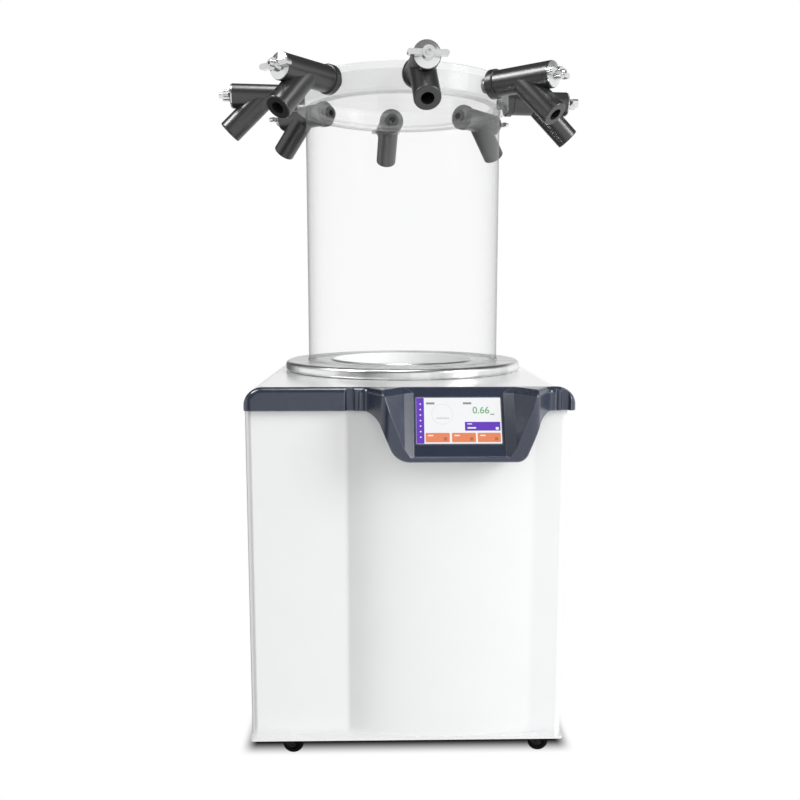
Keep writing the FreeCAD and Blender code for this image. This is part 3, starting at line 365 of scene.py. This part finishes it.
def metalMaterial(name, look):
    # bare metal, turned about the upright axis or brushed along the stretch
    made, tree, shader = newMaterial(name, {"Metallic": 1.0})
    if "stretch" in look:
        surface = useGroup(tree, brushing, {
            "Stretch": look["stretch"], "Scale": look["scale"], **roughSpan(look)})
    else:
        surface = useGroup(tree, turning, {"Scale": look["scale"], **roughSpan(look)})
    share, rough = surface["Height"], surface["Roughness"]
    if "mouth" in look:
        # bright satin inside the mouth, and soft fans of painted reflection on the flange round it
        mouth = look["mouth"]
        around = useGroup(tree, axisDistance, {"Sheen Fan Scale": look["sheenFans"]})
        # the flange's tone follows the fans of painted reflection
        share = mapped(tree, around["Sheen Fans"], *look["sheenFanSpan"])
        inside = mapped(tree, around["Radius"], *mouth["span"], 1.0, 0.0)
        rough = mixFloat(tree, inside, rough, mouth["rough"])
        link(tree, mixFloat(tree, inside, 1.0, mouth["metallic"]), shader.inputs["Metallic"])
        tone = mixColour(tree, share, look["colour"], look["drifted"])
        mixColour(tree, inside, tone, mouth["colour"], shader.inputs["Base Color"])
    else:
        mixColour(tree, share, look["colour"], look["drifted"], shader.inputs["Base Color"])
    link(tree, rough, shader.inputs["Roughness"])
    bumpFrom(tree, shader, surface["Height"], look["depth"])
    return made


stainlessLook = {
    "colour": (0.62, 0.625, 0.63), "drifted": (0.90, 0.902, 0.905),
    "scale": 420.0, "rough": (0.26, 0.34), "depth": 0.000002, "sheenFans": 4.0, "sheenFanSpan": (0.34, 0.62),
    "mouth": {"span": (0.1220, 0.1225), "colour": (0.97, 0.972, 0.975), "rough": 0.5,
              "metallic": 0.1}}
pipeSteelLook = {
    "colour": (0.55, 0.56, 0.57), "drifted": (0.70, 0.705, 0.71),
    "stretch": (1.0, 0.06, 1.0), "scale": 900.0, "rough": (0.15, 0.3), "depth": 0.00003}
zincLook = {
    "colour": (0.50, 0.51, 0.53), "drifted": (0.66, 0.67, 0.69),
    "stretch": (1.0, 1.0, 0.4), "scale": 500.0, "rough": (0.25, 0.45), "depth": 0.00003}
copperLook = {
    "colour": (0.60, 0.27, 0.15), "drifted": (0.78, 0.40, 0.25),
    "stretch": (1.0, 1.0, 1.0), "scale": 160.0, "rough": (0.2, 0.38), "depth": 0.00004}
brassLook = {
    "colour": (0.58, 0.42, 0.16), "drifted": (0.72, 0.55, 0.26),
    "stretch": (1.0, 0.2, 1.0), "scale": 500.0, "rough": (0.2, 0.35), "depth": 0.00003}
finLook = {
    "colour": (0.55, 0.56, 0.57), "drifted": (0.70, 0.71, 0.72),
    "stretch": (1.0, 1.0, 0.1), "scale": 700.0, "rough": (0.3, 0.45), "depth": 0.00003}

clearBase = {"ior": 1.45, "grain": 60.0, "glossPower": 4.0}
cylinderLook = {
    **clearBase, "tint": 0.990, "edgeTint": 0.32, "edgePower": 4.8, "edgeFrom": (0.1600, 0.1645),
    "veil": 0.018, "gloss": 0.30, "body": (0.90, 0.91, 0.92), "rough": (0.03, 0.08), "smear": 9.0}
drumLook = {
    **clearBase, "tint": 0.965, "edgeTint": 0.50, "edgePower": 4.0, "edgeFrom": (0.1740, 0.1795),
    "veil": 0.13, "gloss": 0.35, "body": (0.86, 0.87, 0.88), "rough": (0.03, 0.08), "smear": 9.0}
gasketLook = {
    **clearBase, "tint": 0.93, "edgeTint": 0.60, "edgePower": 3.0, "edgeFrom": (0.1640, 0.1660),
    "veil": 0.14, "gloss": 0.20, "body": (0.84, 0.85, 0.85), "rough": (0.30, 0.45), "smear": 30.0}


def clearMaterial(name, look):
    # clear sheet: what is behind it shows unbent under a thin gloss, greyer where the outer face
    # turns away
    made, tree, shader = newMaterial(name, {"Base Color": look["body"], "IOR": look["ior"]})
    surface = useGroup(tree, grain, {
        "Grain Scale": look["grain"], "Drift Scale": look["smear"], **roughSpan(look)})
    link(tree, surface["Roughness"], shader.inputs["Roughness"])
    outer = mapped(tree, useGroup(tree, axisDistance, {})["Radius"], *look["edgeFrom"])
    facing = addNode(tree, "ShaderNodeLayerWeight", {"Blend": 0.5}).outputs["Facing"]
    turned = mathNode(tree, "MULTIPLY", facing, outer)
    clear = addNode(tree, "ShaderNodeBsdfTransparent")
    mixColour(tree, mathNode(tree, "POWER", turned, look["edgePower"]), (look["tint"],) * 3,
              (look["edgeTint"],) * 3, clear.inputs["Color"])
    gloss = mathNode(tree, "MULTIPLY", mathNode(tree, "POWER", turned, look["glossPower"]),
                     look["gloss"])
    mix = addNode(tree, "ShaderNodeMixShader", {
        0: mathNode(tree, "ADD", gloss, look["veil"]), 1: clear.outputs[0], 2: shader.outputs[0]})
    link(tree, mix.outputs[0], tree.nodes["Material Output"].inputs["Surface"])
    return made


def dress(names, made):
    for name in names:
        for slot in nodes[name].material_slots:
            slot.material = made


def numbered(stem, count):
    return [f"{stem}_{index}" for index in range(1, count + 1)]


valveCount, casterCount = 8, 4
keyPlastic = grainMaterial("keyPlastic", keyLook)
zinc = metalMaterial("zincSteel", zincLook)

dress(["front_panel", "left_panel", "right_panel", "rear_panel", "top_cover", "base_plate"],
      grainMaterial("whiteEnamel", enamelLook))
dress(["frame"], grainMaterial("framePaint", framePaintLook))
dress(["front_bezel"], grainMaterial("navyShell", shellLook))
dress(["panel_screws", "fan_shroud"], zinc)
dress(["trap_plate"], metalMaterial("polishedSteel", stainlessLook))
dress(["trap_pot", "trap_floor"], grainMaterial("satinSteel", satinLook))
dress(["vacuum_pipe", "drain_pipe"], metalMaterial("pipeSteel", pipeSteelLook))
dress(["evaporator_coil", "filter_drier", "refrigerant_lines"],
      metalMaterial("copperTube", copperLook))
dress(["insulation_jacket"], grainMaterial("closedFoam", foamLook))
dress(["base_gasket", "top_gasket"], clearMaterial("clearSilicone", gasketLook))
dress(["chamber_cylinder"], clearMaterial("clearCylinder", cylinderLook))
dress(["manifold_drum"], clearMaterial("clearDrum", drumLook))
dress(["compressor", "fan_motor", "caster_plates", *numbered("caster_fork", casterCount)],
      grainMaterial("blackPaint", blackPaintLook))
dress(["compressor_grommets", *numbered("valve_body", valveCount)],
      grainMaterial("valveRubber", rubberLook))
dress(["condenser"], metalMaterial("finAluminium", finLook))
dress(["fan_rotor", "power_inlet", "power_rocker"],
      grainMaterial("mouldedBlack", mouldedBlackLook))
dress(["drain_valve"], metalMaterial("machinedBrass", brassLook))
dress(["drain_lever"], grainMaterial("redVinyl", leverLook))
dress(numbered("caster_wheel", casterCount), grainMaterial("casterTread", tyreLook))
dress(["control_board"], grainMaterial("circuitBoard", boardLook))
dress(numbered("valve_key", valveCount), keyPlastic)
dress(["screen_module"], grainMaterial("displayGlass", glassLook))
print("materials placed")

# ---------- display
screenLook = {
    "colours": {
        "white": (0.93, 0.94, 0.95), "violet": (0.155, 0.055, 0.55), "orange": (0.86, 0.27, 0.13),
        "grey": (0.30, 0.31, 0.33), "pale": (0.72, 0.74, 0.75), "green": (0.20, 0.48, 0.23),
        "rust": (0.52, 0.17, 0.10)},
    "shader": {"Emission Strength": 0.78, "Roughness": 0.25, "Coat Weight": 0.6,
               "Coat Roughness": 0.06},
    "dimmer": 0.97, "body": 0.2, "drift": 30.0,
    "skin": 0.00012, "layerStep": 1.3, "textLift": 3.2, "relief": 0.00006, "bolder": 0.012,
    "gauge": {"place": (0.31, 0.36), "inner": 0.0147, "outer": 0.0152}}

# name, words, height, middle as shares of the page from its upper left corner, colour
pageTexts = (
    ("screenDigits", "0.66", 0.0142, (0.765, 0.285), "green"),
    ("screenIdle", "--:--:--", 0.0075, (0.315, 0.44), "grey"))


def button(left, right):
    return ((left, 0.765, right, 0.965, 2, "orange", 0.0012),
            (left + 0.03, 0.81, left + 0.09, 0.835, 3, "white", 0.0003),
            (right - 0.07, 0.86, right - 0.03, 0.93, 3, "rust", 0.0006))


# left, top, right and bottom as shares of the page, layer, colour, corner radius
pageBlocks = (
    (0.001, 0.004, 0.999, 0.996, 1, "white", 0.0012),
    (0.003, 0.008, 0.095, 0.992, 2, "violet", 0.0012),
    (0.57, 0.53, 0.985, 0.72, 2, "violet", 0.0008),
    *button(0.108, 0.39), *button(0.415, 0.695), *button(0.715, 0.985),
    (0.12, 0.105, 0.22, 0.150, 2, "grey", 0.0004),
    (0.555, 0.105, 0.655, 0.150, 2, "grey", 0.0004),
    (0.875, 0.355, 0.92, 0.380, 2, "grey", 0.0003),
    (0.60, 0.565, 0.655, 0.585, 3, "white", 0.0003),
    (0.60, 0.645, 0.70, 0.675, 3, "white", 0.0003),
    (0.93, 0.645, 0.965, 0.70, 3, "white", 0.0006))


def litMaterial(label, look):
    # a lit part of the display: mostly its own light, under a glossy cover
    colour = look["colours"][label]
    made, tree, shader = newMaterial(f"lit{label.capitalize()}", look["shader"])
    surface = useGroup(tree, grain, {"Drift Scale": look["drift"]})
    low = tuple(look["dimmer"] * part for part in colour)
    lit = mixColour(tree, surface["Drift"], low, colour, shader.inputs["Emission Color"])
    mixColour(tree, look["body"], (0.0, 0.0, 0.0), lit, shader.inputs["Base Color"])
    return made


def frontPlane(name):
    # centre, axes and size of a node's largest face that looks towards the operator
    mesh = nodes[name].data
    sums = {}
    for face in mesh.polygons:
        if face.normal.y < -0.3:
            key = tuple(round(part, 2) for part in face.normal)
            sums[key] = sums.get(key, 0.0) + face.area
    best = Vector(max(sums, key=sums.get))
    corners = [mesh.vertices[index].co for face in mesh.polygons
               if (face.normal - best).length < 0.02 for index in face.vertices]
    normal = best.normalized()
    up = (Vector((0, 0, 1)) - normal * normal.z).normalized()
    right = up.cross(normal)
    spans = [[corner.dot(axis) for corner in corners] for axis in (right, up, normal)]
    middle = [(min(span) + max(span)) / 2 for span in spans]
    size = max(spans[0]) - min(spans[0]), max(spans[1]) - min(spans[1])
    centre = right * middle[0] + up * middle[1] + normal * max(spans[2])
    return Matrix.Translation(centre) @ Matrix((right, up, normal)).transposed().to_4x4(), size


def roundedBox(left, right, low, high, radius, steps=5):
    points = []
    for cx, cy, start in ((right - radius, high - radius, 0), (left + radius, high - radius, 90),
                          (left + radius, low + radius, 180), (right - radius, low + radius, 270)):
        for step in range(steps + 1):
            angle = math.radians(start + 90 * step / steps)
            points.append((cx + radius * math.cos(angle), cy + radius * math.sin(angle)))
    return points


def slab(work, outline, lift, skin, slot):
    # a closed plate over an outline: its underside at height lift, and skin thick
    low = [work.verts.new((x, y, lift)) for x, y in outline]
    high = [work.verts.new((x, y, lift + skin)) for x, y in outline]
    faces = [work.faces.new(low[::-1]), work.faces.new(high)]
    for index in range(len(outline)):
        after = (index + 1) % len(outline)
        faces.append(work.faces.new((low[index], low[after], high[after], high[index])))
    for face in faces:
        face.material_index = slot


def ringSlab(work, centre, inner, outer, lift, skin, slot, steps=48):
    rims = []
    for radius, height in ((inner, lift), (outer, lift), (outer, lift + skin), (inner, lift + skin)):
        rims.append([work.verts.new((centre[0] + radius * math.cos(2 * math.pi * k / steps),
                                     centre[1] + radius * math.sin(2 * math.pi * k / steps), height))
                     for k in range(steps)])
    for index in range(4):
        first, second = rims[index], rims[(index + 1) % 4]
        for k in range(steps):
            after = (k + 1) % steps
            face = work.faces.new((first[k], first[after], second[after], second[k]))
            face.material_index = slot


def textMesh(words, size, look):
    curve = bpy.data.curves.new("digits", "FONT")
    curve.body = words
    curve.size = size
    curve.align_x = "CENTER"
    curve.align_y = "CENTER"
    curve.extrude = look["relief"]
    curve.offset = look["bolder"] * size
    return plainMesh(meshObject("digits", curve))


def makeScreenPage(look, place, size, lit):
    skin, gauge, slots = look["skin"], look["gauge"], list(lit)

    def spot(across, down):
        # shares of the page's width and height from its upper left corner
        return (across - 0.5) * size[0], (0.5 - down) * size[1]

    def lift(layer):
        return layer * skin * look["layerStep"]

    work = bmesh.new()
    for left, top, right, bottom, layer, colour, corner in pageBlocks:
        (x0, y1), (x1, y0) = spot(left, top), spot(right, bottom)
        slab(work, roundedBox(x0, x1, y0, y1, corner), lift(layer), skin, slots.index(colour))
    ringSlab(work, spot(*gauge["place"]), gauge["inner"], gauge["outer"], lift(2), skin,
             slots.index("pale"))
    mesh = meshFrom(work, "screenPage")
    for made in lit.values():
        mesh.materials.append(made)
    mesh.transform(place)
    pieces = [meshObject("screenPage", mesh)]
    for name, words, height, middle, colour in pageTexts:
        text = textMesh(words, height, look)
        text.transform(place @ Matrix.Translation((*spot(*middle), look["textLift"] * skin)))
        text.materials.clear()
        text.materials.append(lit[colour])
        pieces.append(meshObject(name, text))
    return pieces


screenPlace, screenSize = frontPlane("screen_module")
litParts = {label: litMaterial(label, screenLook) for label in screenLook["colours"]}
for piece in makeScreenPage(screenLook, screenPlace, screenSize, litParts):
    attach(piece, "cabinet")
print("display drawn")


# ---------- Geometry Nodes for what repeats
def geometryTree(name, inputs):
    tree = bpy.data.node_groups.new(name, "GeometryNodeTree")
    tree.interface.new_socket(name="Geometry", in_out="OUTPUT", socket_type="NodeSocketGeometry")
    for label, (kind, value) in {**inputs, "Material": ("Material", None)}.items():
        socket = tree.interface.new_socket(
            name=label, in_out="INPUT", socket_type=f"NodeSocket{kind}")
        if value is not None:
            socket.default_value = value
    return tree, tree.nodes.new("NodeGroupInput").outputs, tree.nodes.new("NodeGroupOutput").inputs


def spreadItems(tree, entry, leave, points, item, turn=None):
    # one item on each point, made real and given the material
    spread = addNode(tree, "GeometryNodeInstanceOnPoints", {"Points": points, "Instance": item})
    if turn is not None:
        link(tree, turn, spread.inputs["Rotation"])
    real = addNode(tree, "GeometryNodeRealizeInstances", {"Geometry": spread.outputs["Instances"]})
    paint = addNode(tree, "GeometryNodeSetMaterial", {
        "Geometry": real.outputs["Geometry"], "Material": entry["Material"]})
    link(tree, paint.outputs["Geometry"], leave["Geometry"])
    return tree


def grow(name, tree, values, place=Matrix.Identity(4)):
    # runs a tree on an empty object and keeps the plain mesh that it makes
    holder = meshObject(name + "Holder", bpy.data.meshes.new(name + "Empty"))
    modifier = holder.modifiers.new("tree", "NODES")
    modifier.node_group = tree
    for item in tree.interface.items_tree:
        if item.in_out == "INPUT" and item.name in values:
            modifier[item.identifier] = values[item.name]
    mesh = plainMesh(holder)
    mesh.transform(place)
    mesh.name = name
    smoothByAngle(mesh)
    return meshObject(name, mesh)


def makeScrewTree(recessLength=1.15, recessWidth=0.26):
    # pan heads with a cross recess, spaced evenly from one point to another; the recess is given
    # in head radii
    tree, entry, leave = geometryTree("screwRow", {
        "Count": ("Int", 4), "Start": ("Vector", (0, 0, 0)), "End": ("Vector", (0, 0, 0.1)),
        "Turn": ("Rotation", None), "Head Radius": ("Float", 0.003),
        "Head Height": ("Float", 0.0018)})
    radius, height = entry["Head Radius"], entry["Head Height"]
    row = addNode(tree, "GeometryNodeMeshLine", mode="END_POINTS", inputs={
        "Count": entry["Count"], "Start Location": entry["Start"], "Offset": entry["End"]})
    ball = addNode(tree, "GeometryNodeMeshUVSphere", {"Segments": 20, "Rings": 10, "Radius": radius})
    dome = addNode(tree, "GeometryNodeTransform", {
        "Geometry": ball.outputs["Mesh"],
        "Scale": combined(tree, 1.0, 1.0, mathNode(tree, "DIVIDE", height, radius))})
    cutter = addNode(tree, "GeometryNodeMeshBoolean", {"Mesh 1": dome.outputs["Geometry"]},
                     operation="DIFFERENCE", solver="EXACT")
    long = mathNode(tree, "MULTIPLY", radius, recessLength)
    thin = mathNode(tree, "MULTIPLY", radius, recessWidth)
    lift = combined(tree, z=height)
    for first, second in ((long, thin), (thin, long)):
        block = addNode(tree, "GeometryNodeMeshCube", {"Size": combined(tree, first, second, height)})
        raised = addNode(tree, "GeometryNodeTransform", {
            "Geometry": block.outputs["Mesh"], "Translation": lift})
        link(tree, raised.outputs["Geometry"], cutter.inputs["Mesh 2"])
    return spreadItems(tree, entry, leave, row.outputs["Mesh"], cutter.outputs["Mesh"], entry["Turn"])


def makeDotTree():
    # round studs in a row along Y, each a short closed disc facing +Z
    tree, entry, leave = geometryTree("dotRow", {
        "Count": ("Int", 7), "Pitch": ("Float", 0.008), "Dot Radius": ("Float", 0.0012),
        "Thickness": ("Float", 0.0001)})
    row = addNode(tree, "GeometryNodeMeshLine", mode="OFFSET", inputs={
        "Count": entry["Count"], "Offset": combined(tree, y=entry["Pitch"])})
    disc = addNode(tree, "GeometryNodeMeshCylinder", {
        "Vertices": 20, "Radius": entry["Dot Radius"], "Depth": entry["Thickness"]})
    return spreadItems(tree, entry, leave, row.outputs["Mesh"], disc.outputs["Mesh"])


def makeRibTree():
    # ribs round a rim about the local Z axis
    tree, entry, leave = geometryTree("rimRibs", {
        "Count": ("Int", 28), "Rim Radius": ("Float", 0.0186),
        "Rib Size": ("Vector", (0.0012, 0.0016, 0.003))})
    rim = addNode(tree, "GeometryNodeMeshCircle", {
        "Vertices": entry["Count"], "Radius": entry["Rim Radius"]})
    rib = addNode(tree, "GeometryNodeMeshCube", {"Size": entry["Rib Size"]})
    turn = mathNode(tree, "MULTIPLY", addNode(tree, "GeometryNodeInputIndex").outputs[0],
                    mathNode(tree, "DIVIDE", 2 * math.pi, entry["Count"]))
    return spreadItems(tree, entry, leave, rim.outputs["Mesh"], rib.outputs["Mesh"],
                       combined(tree, z=turn))


dotSpec = {"count": 7, "pitch": 0.0082, "radius": 0.0011, "across": -0.448, "lift": 4.5}
dotPlace = Matrix.Translation((dotSpec["across"] * screenSize[0],
                               -(dotSpec["count"] - 1) / 2 * dotSpec["pitch"],
                               dotSpec["lift"] * screenLook["skin"]))
dots = grow("screenDots", makeDotTree(), {
    "Count": dotSpec["count"], "Pitch": dotSpec["pitch"], "Dot Radius": dotSpec["radius"],
    "Thickness": screenLook["skin"], "Material": litParts["white"]}, screenPlace @ dotPlace)
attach(dots, "cabinet")

screwSpec = {"count": 4, "radius": 0.0034, "height": 0.0019, "inset": 0.012, "ends": 0.03}
screwTree = makeScrewTree()


def sideScrews(name, node, side):
    low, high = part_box(node)
    x = high.x if side > 0 else low.x
    y = high.y - screwSpec["inset"]
    screws = grow(name, screwTree, {
        "Count": screwSpec["count"], "Start": (x, y, low.z + screwSpec["ends"]),
        "End": (x, y, high.z - screwSpec["ends"]), "Turn": Euler((0, side * math.pi / 2, 0)),
        "Head Radius": screwSpec["radius"], "Head Height": screwSpec["height"], "Material": zinc})
    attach(screws, "cabinet")


sideScrews("leftScrews", "left_panel", -1)
sideScrews("rightScrews", "right_panel", 1)

gripSpec = {"count": 30, "rim": 0.0187, "rib": (0.0014, 0.0016, 0.0016), "back": 0.0207}
ribTree = makeRibTree()
for index in range(1, valveCount + 1):
    joint = joints[f"key_{index}_turn"]
    axis = Vector(joint["axis"])
    reach = max(vertex.co.dot(axis) for vertex in nodes[f"valve_key_{index}"].data.vertices)
    centre = axis * (reach - gripSpec["back"]) + Vector((0, 0, joint["pos_m"][2]))
    place = Matrix.Translation(centre) @ axis.to_track_quat("Z", "Y").to_matrix().to_4x4()
    grip = grow(f"keyGrip{index}", ribTree, {
        "Count": gripSpec["count"], "Rim Radius": gripSpec["rim"], "Rib Size": gripSpec["rib"],
        "Material": keyPlastic}, place)
    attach(grip, f"key_{index}")
print("repeated details grown")

# ---------- light and floor
worldSpec = {
    "ambient": 0.22, "overhead": 0.38, "front": 1.08, "frontTurn": 10.0,
    "zenith": 0.05, "zenithSpan": (0.12, 0.55),
    "leftShade": 0.06, "leftSpan": (-0.42, -0.16), "farLeftSpan": (-0.92, -0.70)}
# centre, half, soft and the darkest level set the box of painted shadow on the floor
floorSpec = {
    "reach": 40.0, "bounce": 0.55, "centre": (0.002, -0.0035), "half": (0.251, 0.2435),
    "soft": (0.028, 0.042), "shadowDarkest": 0.012}
lampStretch = 1.4
lamps = {
    "keyLamp": {
        "place": (2.64, -1.65, 1.99), "aim": (0.0, -0.2, 0.6), "size": 1.1, "power": 72.0,
        "sheen": False},
    "stripLamp": {
        "place": (-1.45, -0.50, 2.20), "aim": (-0.2, -0.2, 1.0), "size": 0.55, "power": 30.0,
        "sheen": True},
    "topStrip": {
        "place": (-0.1, -0.4, 3.2), "aim": (0.0, 0.0, 1.0), "size": 0.7, "power": 26.0,
        "sheen": True}}


def areaLamp(name, spec):
    # a sheen lamp only shows as a gloss and lights nothing else
    data = bpy.data.lights.new(name, "AREA")
    data.shape = "RECTANGLE"
    data.size = spec["size"]
    data.size_y = spec["size"] * lampStretch
    data.energy = spec["power"]
    lamp = bpy.data.objects.new(name, data)
    lamp.location = spec["place"]
    lamp.rotation_euler = (Vector(spec["aim"]) - lamp.location).to_track_quat("-Z", "Y").to_euler()
    lamp.visible_diffuse = not spec["sheen"]
    scene.collection.objects.link(lamp)


def directView(tree, path):
    # one where the camera sees a surface, also through what is clear
    return mathNode(tree, "MAXIMUM", path["Is Camera Ray"], path["Is Transmission Ray"])


def makeWorld(spec):
    # white behind everything, with soft light from the front and overhead; reflections darken
    # upwards and in a band to the left front
    world = bpy.data.worlds.new("studio")
    scene.world = world
    world.use_nodes = True
    tree = world.node_tree
    tree.nodes.clear()
    x, y, z = separated(tree, addNode(tree, "ShaderNodeTexCoord").outputs["Generated"])
    path = addNode(tree, "ShaderNodeLightPath").outputs
    turn = math.radians(spec["frontTurn"])
    ahead = mathNode(tree, "ADD", mathNode(tree, "MULTIPLY", y, -math.cos(turn)),
                     mathNode(tree, "MULTIPLY", x, math.sin(turn)))
    up = mathNode(tree, "MULTIPLY", mathNode(tree, "MAXIMUM", z, 0.0), spec["overhead"])
    front = mathNode(tree, "MULTIPLY", mathNode(tree, "MAXIMUM", ahead, 0.0), spec["front"])
    soft = mathNode(tree, "ADD", mathNode(tree, "ADD", up, front), spec["ambient"])
    high = mapped(tree, z, *spec["zenithSpan"], 1.0, spec["zenith"])
    side = mathNode(tree, "MAXIMUM", mapped(tree, x, *spec["leftSpan"], spec["leftShade"], 1.0),
                    mapped(tree, x, *spec["farLeftSpan"], 1.0, spec["leftShade"]))
    mirrored = mathNode(tree, "MULTIPLY", high, side)
    strength = mixFloat(tree, path["Is Glossy Ray"], soft, mirrored)
    back = addNode(tree, "ShaderNodeBackground", {
        "Color": (1.0, 1.0, 1.0, 1.0),
        "Strength": mixFloat(tree, directView(tree, path), strength, 1.0)})
    addNode(tree, "ShaderNodeOutputWorld", {0: back.outputs[0]})


def makeFloor(spec):
    # pale floor that reads as the white background, with a soft painted shadow under the
    # cabinet; reflections pass it by
    work = bmesh.new()
    bmesh.ops.create_grid(work, x_segments=1, y_segments=1, size=spec["reach"])
    mesh = meshFrom(work, "floor")
    made, tree, shader = newMaterial("paleFloor", {
        "Base Color": (spec["bounce"],) * 3, "Roughness": 0.9, "Specular IOR Level": 0.0})
    position = separated(tree, objectPlace(tree))
    # painted shadow: a soft-edged box under the cabinet that darkens what the camera sees
    under = []
    for axis in (0, 1):
        offset = mathNode(tree, "SUBTRACT", position[axis], spec["centre"][axis])
        away = addNode(tree, "ShaderNodeMath", {0: offset}, operation="ABSOLUTE").outputs[0]
        half, soft = spec["half"][axis], spec["soft"][axis] / 2
        under.append(mapped(tree, away, half - soft, half + soft, 1.0, 0.0))
    paintedShadow = mathNode(tree, "MULTIPLY", *under)
    white = addNode(tree, "ShaderNodeEmission", {
        "Color": (1.0, 1.0, 1.0, 1.0), "Strength": mixFloat(tree, paintedShadow, 1.0, spec["shadowDarkest"])})
    path = addNode(tree, "ShaderNodeLightPath").outputs
    blend = addNode(tree, "ShaderNodeMixShader", {
        0: directView(tree, path), 1: shader.outputs[0], 2: white.outputs[0]})
    link(tree, blend.outputs[0], tree.nodes["Material Output"].inputs["Surface"])
    mesh.materials.append(made)
    floor = meshObject("floor", mesh)
    floor.visible_glossy = False


makeWorld(worldSpec)
makeFloor(floorSpec)
for lampName, lampSpec in lamps.items():
    areaLamp(lampName, lampSpec)
scene.view_settings.view_transform = "Standard"
print("studio ready")
